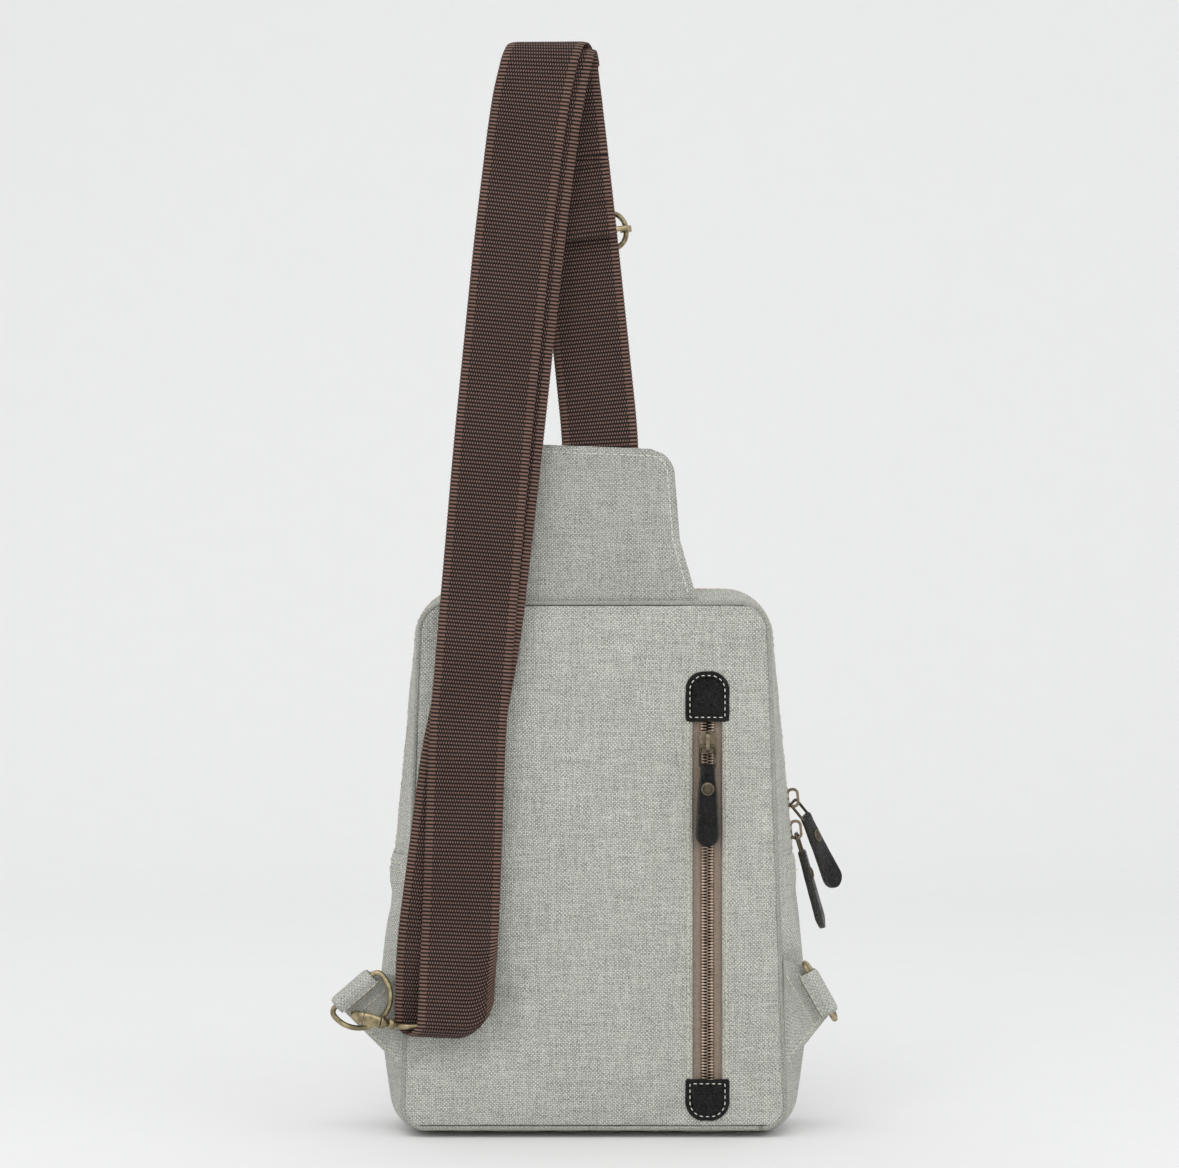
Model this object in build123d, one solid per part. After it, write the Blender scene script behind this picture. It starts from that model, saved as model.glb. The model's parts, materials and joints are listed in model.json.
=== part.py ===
from build123d import *
import math
import os

# Sling bag. Millimetres, +Z up, back panel faces -Y, origin at the bottom centre of the bag.

# ---- body ----
HALF_DEPTH = 36.0        # outer face of each body panel from the middle plane
BODY_TOP = 264.0         # top of the two flat panels
BODY_FOOT = 0.0          # bottom of the two flat panels
PANEL_HALF_LOW = 95.0
PANEL_HALF_TOP = 86.0
PANEL_CORNER_LOW = 11.0
PANEL_CORNER_TOP = 15.0
GUSSET_HALF_LOW = 98.0   # the gusset's outline, half way between the panels
GUSSET_HALF_WIDE = 106.5
GUSSET_WIDE_Z = 62.0
GUSSET_HALF_TOP = 87.0
GUSSET_TOP = 270.0
GUSSET_CORNER_LOW = 16.0
GUSSET_CORNER_TOP = 24.0
FLAT_BAND = 12.0         # half width of the straight band that carries the main zip
CANVAS = 1.4
GAP = 0.15
SEAM_R = 1.5             # bound seam that runs round each panel
LINING_INSET = 3.3
LINING = 0.8
ZIP_END_Z = 139.0        # fold where the lower gusset covers the main zip
PADDING = 3.0
POCKET_DEPTH = 5.2
POCKET_CLOTH = 0.8

# ---- zips ----
TOOTH_HALF = 2.95
CHAIN_GAP = 0.5
CHAIN_T = 2.4
TAPE_T = 0.7
TAPE_HALF = 11.5
SLOT_HALF = 7.0
BACK_ZIP_X = 56.0
BACK_SLOT_LOW = 18.0
BACK_SLOT_TOP = 216.0
PATCH_W = 21.7
PATCH_T = 1.2
PATCH_TOP_Z = (205.0, 230.0)
PATCH_LOW_Z = (8.0, 28.6)
BACK_SLIDER_Z = 195.0
UPPER_SLIDER_Z = 165.0   # main zip, right side
LOWER_SLIDER_Z = 149.0

# ---- tongue and strap ----
TONGUE_Y = -31.6
TONGUE_TOP = 341.0
TONGUE_HALF_LOW = 52.0
TONGUE_HALF_TOP = 39.0
TONGUE_CANVAS = 1.1
WEB_W = 38.0
WEB_T = 1.6
WEB_REAR_Y = TONGUE_Y    # the layer that is sewn into the tongue
WEB_RETURN_Y = -34.0
WEB_FRONT_Y = -51.0
WEB_INNER_Y = -48.6
STRAP_TOP = 540.0
FOLD_LOW_Z = 343.0       # the strap bends between these heights
FOLD_TOP_Z = 365.0
ADJUSTER_Z = 446.0
CLASP_Z = 57.0
WIRE = 2.6

# ---- side tabs ----
RING_WIRE_R = 1.35
RING_HALF = 15.5
RING_DEPTH = 19.0
ROLL_R = 4.5
ROLL_LEN = 23.0
ROLL_Y = -41.2
LEFT_ROLL = (-118.1, 72.8)
RIGHT_ROLL = (111.0, 72.0)
LEFT_ROLL_ANGLE = 41.0
RIGHT_ROLL_ANGLE = -61.0

os.makedirs("parts", exist_ok=True)


def save(name, *solids):
    """Write one sub-part, whole solids only."""
    found = [s for shape in solids for s in shape.solids()]
    export_step(found[0] if len(found) == 1 else Compound(children=found), f"parts/{name}.step")


def panel_outline(inset=0.0):
    """The two flat panels' outline in X, Z."""
    points = [
        (-PANEL_HALF_LOW, BODY_FOOT),
        (PANEL_HALF_LOW, BODY_FOOT),
        (PANEL_HALF_TOP, BODY_TOP),
        (-PANEL_HALF_TOP, BODY_TOP),
    ]
    face = make_face(Polyline(*points, close=True))
    face = fillet(face.vertices().sort_by(Axis.Y)[-2:], PANEL_CORNER_TOP)
    face = fillet(face.vertices().sort_by(Axis.Y)[:2], PANEL_CORNER_LOW)
    return offset(face, -inset) if inset else face


def gusset_outline(inset=0.0):
    """The outline of the straight band between the panels in X, Z."""
    points = [
        (-GUSSET_HALF_LOW, 0),
        (GUSSET_HALF_LOW, 0),
        (GUSSET_HALF_WIDE, GUSSET_WIDE_Z),
        (GUSSET_HALF_TOP, GUSSET_TOP),
        (-GUSSET_HALF_TOP, GUSSET_TOP),
        (-GUSSET_HALF_WIDE, GUSSET_WIDE_Z),
    ]
    face = make_face(Polyline(*points, close=True))
    face = fillet(face.vertices().sort_by(Axis.Y)[-2:], GUSSET_CORNER_TOP)
    face = fillet(face.vertices().sort_by(Axis.Y)[:4], GUSSET_CORNER_LOW)
    return offset(face, -inset) if inset else face


def at_y(face, y):
    """Stand an X, Z outline up at one depth."""
    return Plane(origin=(0, y, 0), x_dir=(1, 0, 0), z_dir=(0, -1, 0)) * face


def slab(face, y_low, y_high):
    """An X, Z outline given thickness in Y."""
    return extrude(at_y(face, y_high), y_high - y_low)


def band_box(y_low, y_high, z_low, z_high, reach=160.0):
    return Pos(0, (y_low + y_high) / 2, (z_low + z_high) / 2) * Box(2 * reach, y_high - y_low, z_high - z_low)


def prism_ring(outer, inner, y_low, y_high):
    """A hollow band round the bag at a constant outline."""
    return slab(gusset_outline(outer), y_low, y_high) - slab(gusset_outline(inner), y_low - 1, y_high + 1)


def sloped_ring(sign, y_panel):
    """The band that slopes from a panel's edge out to the straight band."""
    def body(inset):
        ends = [at_y(panel_outline(inset), sign * y_panel), at_y(gusset_outline(inset), sign * FLAT_BAND)]
        return Solid.make_loft([f.outer_wire() for f in (e.faces()[0] for e in ends)], ruled=True)
    return body(0.0) - body(CANVAS)


# ---------------- body ----------------
GUSSET_EDGE = HALF_DEPTH - 2.6
side = {}
for sign, label in ((-1, "rear"), (1, "front")):
    near = sloped_ring(sign, GUSSET_EDGE)
    low, high = sorted((sign * FLAT_BAND, sign * SLOT_HALF))
    side[label] = near + prism_ring(0.0, CANVAS, low, high)

upper = band_box(-60, 60, ZIP_END_Z + GAP, 300)
lower = band_box(-60, 60, -5, ZIP_END_Z - GAP)
tongue_notch = Pos(0, TONGUE_Y, 280) * Box(2 * TONGUE_HALF_LOW + 4, 5.2, 60)
save("gusset_zip_strip_rear", (side["rear"] & upper) - tongue_notch)
save("gusset_zip_strip_front", side["front"] & upper)
whole = (side["rear"] + prism_ring(0.0, CANVAS, -SLOT_HALF, SLOT_HALF) + side["front"]) & lower
save("gusset_lower", whole)

tape = prism_ring(CANVAS + GAP, CANVAS + GAP + TAPE_T, -TAPE_HALF, TAPE_HALF)
tape = (tape & upper) - band_box(-TOOTH_HALF - GAP, TOOTH_HALF + GAP, 100, 300)
save("main_zip_tapes", tape)
chain = prism_ring(0.5, 0.5 + CHAIN_T, -TOOTH_HALF, TOOTH_HALF) & upper
save("main_zip_chain", chain - band_box(-CHAIN_GAP, CHAIN_GAP, 100, 300))

slot = Pos(BACK_ZIP_X, -HALF_DEPTH, (BACK_SLOT_LOW + BACK_SLOT_TOP) / 2) * Box(
    2 * SLOT_HALF, 6, BACK_SLOT_TOP - BACK_SLOT_LOW
)
face_inset = 2 * SEAM_R + GAP
save("back_panel", slab(panel_outline(face_inset), -HALF_DEPTH, -HALF_DEPTH + CANVAS) - slot)
save("front_panel", slab(panel_outline(face_inset), HALF_DEPTH - CANVAS, HALF_DEPTH))
for sign, label in ((-1, "rear"), (1, "front")):
    path = at_y(panel_outline(SEAM_R), sign * (HALF_DEPTH - 1.0)).faces()[0].outer_wire()
    start = Plane(origin=path @ 0, z_dir=path % 0)
    save(f"panel_seam_{label}", sweep(start * Circle(SEAM_R), path=path, transition=Transition.ROUND))

pocket_y = -HALF_DEPTH + CANVAS + GAP
pocket_area = Pos(20, 117) * RectangleRounded(104, 208, 10)
pocket_far = pocket_y + POCKET_DEPTH + POCKET_CLOTH
pocket = slab(pocket_area, pocket_y, pocket_far)
pocket = pocket - slab(offset(pocket_area, -1.0), pocket_y - 1, pocket_y + POCKET_DEPTH)
save("back_pocket_bag", pocket)
pad_y = pocket_far + GAP
save("back_padding", slab(panel_outline(LINING_INSET + 1), pad_y, pad_y + PADDING))
lining_y = pad_y + PADDING + GAP
lining_front = HALF_DEPTH - CANVAS - GAP
lining_out = slab(panel_outline(LINING_INSET), lining_y, lining_front)
lining_in = slab(panel_outline(LINING_INSET + LINING), lining_y + LINING, lining_front - LINING)
mouth = Pos(0, 0, BODY_TOP) * Box(2 * PANEL_HALF_TOP - 24, 6, 20)
save("main_lining", lining_out - lining_in - mouth)

# ---------------- back pocket zip ----------------
back_tape_y = pocket_y + 0.1
zip_len = BACK_SLOT_TOP - BACK_SLOT_LOW
zip_mid = (BACK_SLOT_TOP + BACK_SLOT_LOW) / 2
rows = []
tapes = []
for sign in (-1, 1):
    x_row = BACK_ZIP_X + sign * (TOOTH_HALF + CHAIN_GAP) / 2
    rows.append(Pos(x_row, -HALF_DEPTH + 0.5 + CHAIN_T / 2, zip_mid) * Box(TOOTH_HALF - CHAIN_GAP, CHAIN_T, zip_len))
    x_tape = BACK_ZIP_X + sign * (TOOTH_HALF + GAP + SLOT_HALF) / 2
    width = SLOT_HALF - TOOTH_HALF - 3 * GAP
    tapes.append(Pos(x_tape, -HALF_DEPTH + 1.1, zip_mid) * Box(width, TAPE_T, zip_len - 1))
save("back_zip_chain", *rows)
save("back_zip_tapes", *tapes)


def patch(z_low, z_high, round_top):
    """Leather end patch, flat at one end and round at the other."""
    tall = z_high - z_low
    area = Pos(BACK_ZIP_X, (z_low + z_high) / 2) * Rectangle(PATCH_W, tall)
    far = area.vertices().sort_by(Axis.Y)
    area = fillet(far[-2:] if round_top else far[:2], PATCH_W / 2 - 1.5)
    return slab(area, -HALF_DEPTH - GAP - PATCH_T, -HALF_DEPTH - GAP)


save("back_zip_patch_top", patch(*PATCH_TOP_Z, True))
save("back_zip_patch_bottom", patch(*PATCH_LOW_Z, False))


# A slider set is drawn with its zip along Z and its outside towards -Y, chain face at y = 0.
PLATE_T = 1.4
BRIDGE_Y = -PLATE_T - 2.4
BRIDGE_Z = -2.0
LINK_R = 0.7
LINK_HALF = 3.7
LINK_LEN = 10.5
PULL_T = 2.7
PULL_LEN = 39.0


def slider_body():
    """Two plates joined by a thin post between the tooth rows, with the pull's bridge on top."""
    plan = make_face(Polyline((-2.6, -5.5), (2.6, -5.5), (4.3, 3.0), (2.6, 5.5), (-2.6, 5.5), (-4.3, 3.0), close=True))
    plan = fillet(plan.vertices(), 1.0)
    outer = slab(plan, -0.1 - PLATE_T, -0.1)
    inner = slab(plan, CHAIN_T + 0.1, CHAIN_T + 1.0)
    post = Pos(0, CHAIN_T / 2, 3.6) * Box(0.7, CHAIN_T + 1.0, 2.6)
    side_on = Plane.YZ * (Pos(BRIDGE_Y, 0) * (RectangleRounded(6.4, 10.0, 2.9) - RectangleRounded(3.8, 7.2, 1.8)))
    arch = extrude(side_on, 0.9, both=True) & (Pos(0, -PLATE_T - 10.0, 0) * Box(6, 20.0, 12))
    return outer + inner + post + arch


def link():
    """Wire link with one side through the bridge and the other in the leather fold."""
    area = Pos(0, BRIDGE_Z - LINK_LEN / 2) * RectangleRounded(2 * LINK_HALF, LINK_LEN, 1.4)
    path = at_y(area, BRIDGE_Y).faces()[0].outer_wire()
    start = Plane(origin=path @ 0, z_dir=path % 0)
    return sweep(start * Circle(LINK_R), path=path, transition=Transition.ROUND)


def pull():
    """Folded leather pull, wider at its free end, with the rivet's hole."""
    top = BRIDGE_Z - LINK_LEN
    plan = make_face(Polyline((-3.7, 2.2), (3.7, 2.2), (6.4, -PULL_LEN), (-6.4, -PULL_LEN), close=True))
    ends = plan.vertices().sort_by(Axis.Y)
    plan = fillet(ends[:2], 5.6)
    body = slab(plan, -PULL_T / 2, PULL_T / 2)
    fold = Rot(0, 90, 0) * Cylinder(1.9, 4.2)
    eye = Rot(0, 90, 0) * Cylinder(LINK_R + 0.08, 20)
    neck = Pos(0, 0, 2.2) * Box(20, 6, 4.4)
    corners = Pos(0, 0, 1.2) * (Box(20, 6, 4.6) - Box(4.4, 8, 5))
    rivet_hole = Pos(0, 0, -10.5) * Rot(90, 0, 0) * Cylinder(1.5, 8)
    return Pos(0, BRIDGE_Y, top) * ((body - neck + fold) - corners - eye - rivet_hole)


def rivet():
    """Domed cap, shank and back cap."""
    cap = Cylinder(3.2, 0.8) + Pos(0, 0, 0.4) * Cone(3.2, 1.6, 0.7, align=(Align.CENTER, Align.CENTER, Align.MIN))
    lift = PULL_T / 2 + 0.4 + 0.02
    both = Pos(0, -lift, 0) * Rot(90, 0, 0) * cap
    back = Pos(0, PULL_T / 2 + 0.27, 0) * Rot(90, 0, 0) * Cylinder(2.6, 0.5)
    shank = Rot(90, 0, 0) * Cylinder(1.45, PULL_T + 0.4)
    return Pos(0, BRIDGE_Y, BRIDGE_Z - LINK_LEN - 10.5) * (both + back + shank)


def slider_set(prefix, place, link_turn, pull_turn, twist=0.0, flip=False):
    """Save one slider set: the link's and pull's lean away from the zip, and their twist, in degrees."""
    bridge = Pos(0, BRIDGE_Y, BRIDGE_Z)
    about_bridge = bridge * Rot(-link_turn, 0, 0) * Rot(0, 0, twist) * bridge.inverse()
    hinge = Pos(0, BRIDGE_Y, BRIDGE_Z - LINK_LEN)
    about_fold = about_bridge * hinge * Rot(-pull_turn, 0, 0) * hinge.inverse()
    body = slider_body()
    save(f"{prefix}_slider", place * (body.mirror(Plane.XY) if flip else body))
    save(f"{prefix}_link", place * about_bridge * link())
    save(f"{prefix}_pull", place * about_fold * pull())
    save(f"{prefix}_rivet", place * about_fold * rivet())


back_place = Pos(BACK_ZIP_X, -HALF_DEPTH + 0.5, BACK_SLIDER_Z)
slider_set("back_zip", back_place, 0.0, 0.0)

SIDE_TILT = math.degrees(math.atan2(GUSSET_HALF_WIDE - GUSSET_HALF_TOP, GUSSET_TOP - GUSSET_WIDE_Z))


def on_right_side(z):
    """Place a slider set on the right side's zip at a height."""
    x = GUSSET_HALF_WIDE - (z - GUSSET_WIDE_Z) * math.tan(math.radians(SIDE_TILT))
    inward = 0.5 / math.cos(math.radians(SIDE_TILT))
    return Pos(x - inward, 0, z) * Rot(0, -SIDE_TILT, 0) * Rot(0, 0, 90)


slider_set("main_zip_upper", on_right_side(UPPER_SLIDER_Z), 34.0, -18.0, twist=-32.0)
slider_set("main_zip_lower", on_right_side(LOWER_SLIDER_Z), 12.0, -2.0, twist=-10.0, flip=True)

# ---------------- tongue ----------------
def tongue_area(inset=0.0, low=262.0):
    with BuildSketch() as area:
        with BuildLine():
            left = Spline(
                (-TONGUE_HALF_LOW + inset, low),
                (-TONGUE_HALF_TOP - 3.5 + inset, 295),
                (-TONGUE_HALF_TOP + inset, TONGUE_TOP - 12),
                tangents=((0.45, 1), (0, 1)),
            )
            corner = RadiusArc(left @ 1, (-TONGUE_HALF_TOP + 12, TONGUE_TOP - inset), 12 - inset * 0.4)
            right_top = (TONGUE_HALF_TOP - 12, TONGUE_TOP - inset)
            Line(corner @ 1, right_top)
            other = RadiusArc(right_top, (TONGUE_HALF_TOP - inset, TONGUE_TOP - 12), 12 - inset * 0.4)
            right = Spline(
                other @ 1,
                (TONGUE_HALF_TOP + 3.5 - inset, 295),
                (TONGUE_HALF_LOW - inset, low),
                tangents=((0, -1), (0.45, -1)),
            )
            Line(right @ 1, left @ 0)
        make_face()
    return area.sketch


web_gap = WEB_T / 2 + 0.05
for sign, label in ((-1, "back"), (1, "front")):
    low, high = sorted((TONGUE_Y + sign * web_gap, TONGUE_Y + sign * (web_gap + TONGUE_CANVAS)))
    save(f"tongue_{label}", slab(tongue_area(), low, high))
save("tongue_padding", slab(tongue_area(5.0, 264.0), TONGUE_Y - 0.8, TONGUE_Y + 0.8) & band_box(-60, 0, 260, 324))


# ---------------- strap ----------------
def strap_x(z, front):
    """Sideways position of the strap's middle at a height."""
    if front:
        marks = [(50, -68.0), (117, -64.8), (200, -62.0), (340, -50.0), (440, -40.0), (500, -32.7), (536, -25.0)]
    else:
        marks = [(326, 3.5), (345, 3.2), (437, -6.0), (536, -18.0)]
    for (z0, x0), (z1, x1) in zip(marks, marks[1:]):
        if z <= z1:
            break
    return x0 + (x1 - x0) * (z - z0) / (z1 - z0)


def leg(y, z_low, z_high, front, shift_low=0.0, shift_high=0.0):
    """One flat run of webbing; the shifts move its two ends sideways."""
    stops = [z_low] + [z for z in (117, 200, 340, 345, 437, 440, 500) if z_low < z < z_high] + [z_high]
    slope = (shift_high - shift_low) / (z_high - z_low)
    middle = [(strap_x(z, front) + shift_low + slope * (z - z_low), z) for z in stops]
    half = WEB_W / 2
    edge = [(x - half, z) for x, z in middle] + [(x + half, z) for x, z in reversed(middle)]
    return slab(make_face(Polyline(*edge, close=True)), y - WEB_T / 2, y + WEB_T / 2)


def half_loop(y_a, y_b, z, x, up):
    """Half a turn of webbing from one layer's depth to another's."""
    middle = (y_a + y_b) / 2
    r_mid = abs(y_b - y_a) / 2
    ring = Rot(0, 90, 0) * (Cylinder(r_mid + WEB_T / 2, WEB_W) - Cylinder(r_mid - WEB_T / 2, WEB_W + 1))
    keep = Pos(0, 0, 20 if up else -20) * Box(100, 100, 40)
    return Pos(x, middle, z) * (ring & keep)


INNER_TOP = 6.0          # sideways drift of the returning layer, high and low on the front leg
INNER_LOW = -7.6
loop_z = STRAP_TOP - (WEB_REAR_Y - WEB_FRONT_Y) / 2 - WEB_T / 2
save("strap_anchor", leg(WEB_REAR_Y, 326, FOLD_LOW_Z, False))
save("strap_rear_bend", leg(WEB_REAR_Y, FOLD_LOW_Z, FOLD_TOP_Z, False))
save("strap_front_bend", leg(WEB_FRONT_Y, FOLD_LOW_Z, FOLD_TOP_Z, True))
save("strap_inner_bend", leg(WEB_INNER_Y, FOLD_LOW_Z, FOLD_TOP_Z, True, INNER_TOP, INNER_TOP))
outer_top = leg(WEB_REAR_Y, FOLD_TOP_Z, loop_z, False) + half_loop(WEB_REAR_Y, WEB_FRONT_Y, loop_z, -22.3, True)
save("strap_upper_outer", outer_top + leg(WEB_FRONT_Y, FOLD_TOP_Z, loop_z, True))
SLACK_Z = (483.0, 508.0)
inner_top = leg(WEB_RETURN_Y, SLACK_Z[1], loop_z, False) + half_loop(WEB_RETURN_Y, WEB_INNER_Y, loop_z, -20.5, True)
save("strap_upper_inner", inner_top + leg(WEB_INNER_Y, FOLD_TOP_Z, loop_z, True, INNER_TOP, INNER_TOP))
save("strap_return_slack", leg(WEB_RETURN_Y, SLACK_Z[0], SLACK_Z[1], False))

# bottom loop through the clasp's ring
BOTTOM_R = 5.0
bottom_z = 50.0 + BOTTOM_R + WEB_T / 2
bottom_y = WEB_FRONT_Y + BOTTOM_R
bottom_x = strap_x(bottom_z, True)
fold_low = half_loop(WEB_FRONT_Y, WEB_FRONT_Y + 2 * BOTTOM_R, bottom_z, bottom_x, False)
trim_x = bottom_x + INNER_LOW + WEB_W / 2
fold_low = fold_low - Pos(trim_x + 10, bottom_y + 10, bottom_z) * Box(20, 20, 30)
bottom = leg(WEB_FRONT_Y, bottom_z, FOLD_LOW_Z, True) + fold_low
ramp_top = bottom_z + 34
ramp_side = make_face(
    Polyline(
        (bottom_y + BOTTOM_R - WEB_T / 2, bottom_z),
        (bottom_y + BOTTOM_R + WEB_T / 2, bottom_z),
        (WEB_INNER_Y + WEB_T / 2, ramp_top),
        (WEB_INNER_Y - WEB_T / 2, ramp_top),
        close=True,
    )
)
ramp = extrude(Plane.YZ * ramp_side, WEB_W / 2, both=True)
ramp = Pos(bottom_x + INNER_LOW, 0, 0) * ramp
save("strap_lower", bottom + ramp + leg(WEB_INNER_Y, ramp_top - 0.01, FOLD_LOW_Z, True, INNER_LOW, INNER_TOP))

# ---------------- adjuster ----------------
rail_y = WEB_REAR_Y + WEB_T / 2 + 0.15 + WIRE / 2
bar_y = WEB_RETURN_Y - WEB_T / 2 - 0.3 - WIRE / 2
ADJ_X = strap_x(ADJUSTER_Z, False)
LEAN = math.degrees(math.atan2(12.0, 99.0))
ADJ_HALF = 23.0
frame_area = RectangleRounded(2 * ADJ_HALF, 18.0, 8.0)
frame_path = at_y(frame_area, rail_y).faces()[0].outer_wire()
frame_start = Plane(origin=frame_path @ 0, z_dir=frame_path % 0)
frame = sweep(frame_start * Circle(WIRE / 2), path=frame_path, transition=Transition.ROUND)
adj_place = Pos(ADJ_X, 0, ADJUSTER_Z) * Rot(0, -LEAN, 0)
save("adjuster_frame", adj_place * frame)
bar = Pos(0, bar_y, 0) * Rot(0, 90, 0) * Cylinder(WIRE / 2, 2 * ADJ_HALF + 1)
eyes = []
for sign in (-1, 1):
    hole = Pos(sign * ADJ_HALF, rail_y, 0) * (Cylinder(WIRE / 2 + 1.6, 3.0) - Cylinder(WIRE / 2 + 0.1, 4))
    arm = Pos(sign * ADJ_HALF, (bar_y + rail_y - WIRE / 2 - 0.3) / 2, 0) * Box(2.2, rail_y - WIRE / 2 - 0.3 - bar_y, 2.4)
    eyes.append(hole + arm)
save("adjuster_bar", adj_place * (bar + eyes[0] + eyes[1]))
hem = Pos(ADJ_X, 0, ADJUSTER_Z) * Rot(0, -LEAN, 0)
wrap_r = WIRE / 2 + 0.1
wrap = Pos(0, bar_y, 0) * Rot(0, 90, 0) * (Cylinder(wrap_r + WEB_T, WEB_W - 1) - Cylinder(wrap_r, WEB_W))
wrap = wrap & (Pos(0, bar_y, -10) * Box(60, 30, 20))
rear_run = Pos(0, bar_y + wrap_r + WEB_T / 2, 17.5) * Box(WEB_W - 1, WEB_T, 35)
front_run = Pos(0, bar_y - wrap_r - WEB_T / 2, 17.5) * Box(WEB_W - 1, WEB_T, 35)
save("strap_hem", hem * (wrap + rear_run + front_run))


# ---------------- side tabs and D-rings ----------------
def d_ring():
    """Bar on the X axis, arc towards -Z."""
    with BuildLine() as line:
        a = Line((-RING_HALF, 0), (-RING_HALF, -(RING_DEPTH - RING_HALF)))
        b = ThreePointArc(a @ 1, (0, -RING_DEPTH), (RING_HALF, -(RING_DEPTH - RING_HALF)))
        c = Line(b @ 1, (RING_HALF, 0))
        Line(c @ 1, a @ 0)
    path = Plane.XZ * line.wire()
    start = Plane(origin=path @ 0, z_dir=path % 0)
    return sweep(start * Circle(RING_WIRE_R), path=path, transition=Transition.ROUND)


def tab(centre, angle, side_sign):
    """Canvas wedge from the rear seam out to a rolled loop round the ring's bar."""
    u = (math.cos(math.radians(angle)), math.sin(math.radians(angle)))
    ends = [
        (centre[0] + s * u[0] * ROLL_LEN / 2, centre[1] + s * u[1] * ROLL_LEN / 2)
        for s in (-1, 1)
    ]
    low, high = sorted(ends, key=lambda p: p[1])
    seam = side_sign * (PANEL_HALF_LOW + 1.2)
    wedge = make_face(Polyline((seam, 32), low, high, (seam, 88), close=True))
    plate = slab(wedge, -35.2, -32.4)
    place = Pos(centre[0], ROLL_Y, centre[1]) * Rot(0, -angle, 0)
    roll = place * Rot(0, 90, 0) * Cylinder(ROLL_R, ROLL_LEN)
    link_box = place * (Pos(0, (-32.4 + ROLL_Y) / 2 - ROLL_Y, 0) * Box(ROLL_LEN, -32.4 - ROLL_Y, 4.0))
    bore = place * Rot(0, 90, 0) * Cylinder(RING_WIRE_R + 0.1, ROLL_LEN + 20)
    return (plate + roll + link_box) - bore, place


left_tab, left_place = tab(LEFT_ROLL, LEFT_ROLL_ANGLE, -1)
right_tab, right_place = tab(RIGHT_ROLL, RIGHT_ROLL_ANGLE, 1)
save("tab_left", left_tab)
save("tab_right", right_tab)
save("d_ring_left", left_place * Pos(-0.6, 0, 0) * d_ring())
save("d_ring_right", right_place * Rot(96, 0, 0) * d_ring())

# ---------------- clasp ----------------
EYE_X = -109.9
EYE_HALF = (8.6, 5.4)
EYE_WIRE = 1.7
LOOP_WIRE = 1.45
eye_mid_y = -42.4
clasp_tilt = 14.0
clasp = Pos(EYE_X, eye_mid_y, CLASP_Z + 2.2) * Rot(0, clasp_tilt, 0)
eye_area = RectangleRounded(2 * EYE_HALF[0], 2 * EYE_HALF[1], 4.6)
eye_path = eye_area.faces()[0].outer_wire()
eye_start = Plane(origin=eye_path @ 0, z_dir=eye_path % 0)
eye = sweep(eye_start * Circle(EYE_WIRE), path=eye_path, transition=Transition.ROUND)
gate_gap = Pos(1.0, -EYE_HALF[1], 0) * Box(9.0, 5, 6)
ears = [Pos(4.7, -EYE_HALF[1], s * 2.0) * Box(4.6, 2.8, 0.7) for s in (-1, 1)]
gate_pin = Pos(3.6, -EYE_HALF[1], 0) * Cylinder(0.6, 4.2)
neck = Pos(EYE_HALF[0] + 2.4, 0, 0) * Rot(0, 90, 0) * Cylinder(2.6, 2.6)
neck_bore = Pos(EYE_HALF[0] + 2.6, 0, 0) * Rot(0, 90, 0) * Cylinder(1.25, 12)
neck_clear = Pos(EYE_HALF[0] - 0.4, 0, 0) * Rot(0, 90, 0) * Cylinder(2.1, 1.9)
save("clasp_hook", clasp * ((eye - gate_gap) + ears[0] + ears[1] + gate_pin + neck - neck_bore - neck_clear))
gate = Pos(0.15, -EYE_HALF[1], 0) * Rot(0, 90, 0) * Cylinder(1.4, 6.9)
hinge_barrel = Pos(3.6, -EYE_HALF[1], 0) * Cylinder(1.8, 3.1)
gate_bore = Pos(3.6, -EYE_HALF[1], 0) * Cylinder(0.65, 6.0)
save("clasp_gate", clasp * (gate + hinge_barrel - gate_bore))
pin = Pos(EYE_HALF[0] + 2.6, 0, 0) * Rot(0, 90, 0) * Cylinder(1.2, 5.4)
head = Pos(EYE_HALF[0] - 0.4, 0, 0) * Rot(0, 90, 0) * Cylinder(2.0, 1.2)
loop_area = Pos(21.15, 0) * RectangleRounded(42.3, 8.5, 3.4)
loop_path = loop_area.faces()[0].outer_wire()
loop_start = Plane(origin=loop_path @ 0, z_dir=loop_path % 0)
loop = sweep(loop_start * Circle(LOOP_WIRE), path=loop_path, transition=Transition.ROUND)
loop_place = clasp * Pos(EYE_HALF[0] + 5.4, 0, 0) * Rot(0, -clasp_tilt, 0)
save("clasp_strap_ring", clasp * (pin + head) + loop_place * loop)
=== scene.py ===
"""Visual of a canvas sling bag round its CAD frame. Lengths are millimetres unless a name says otherwise."""
import json
import math

import bmesh
import bpy
import numpy as np
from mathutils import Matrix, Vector, noise
from mathutils.bvhtree import BVHTree


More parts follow.
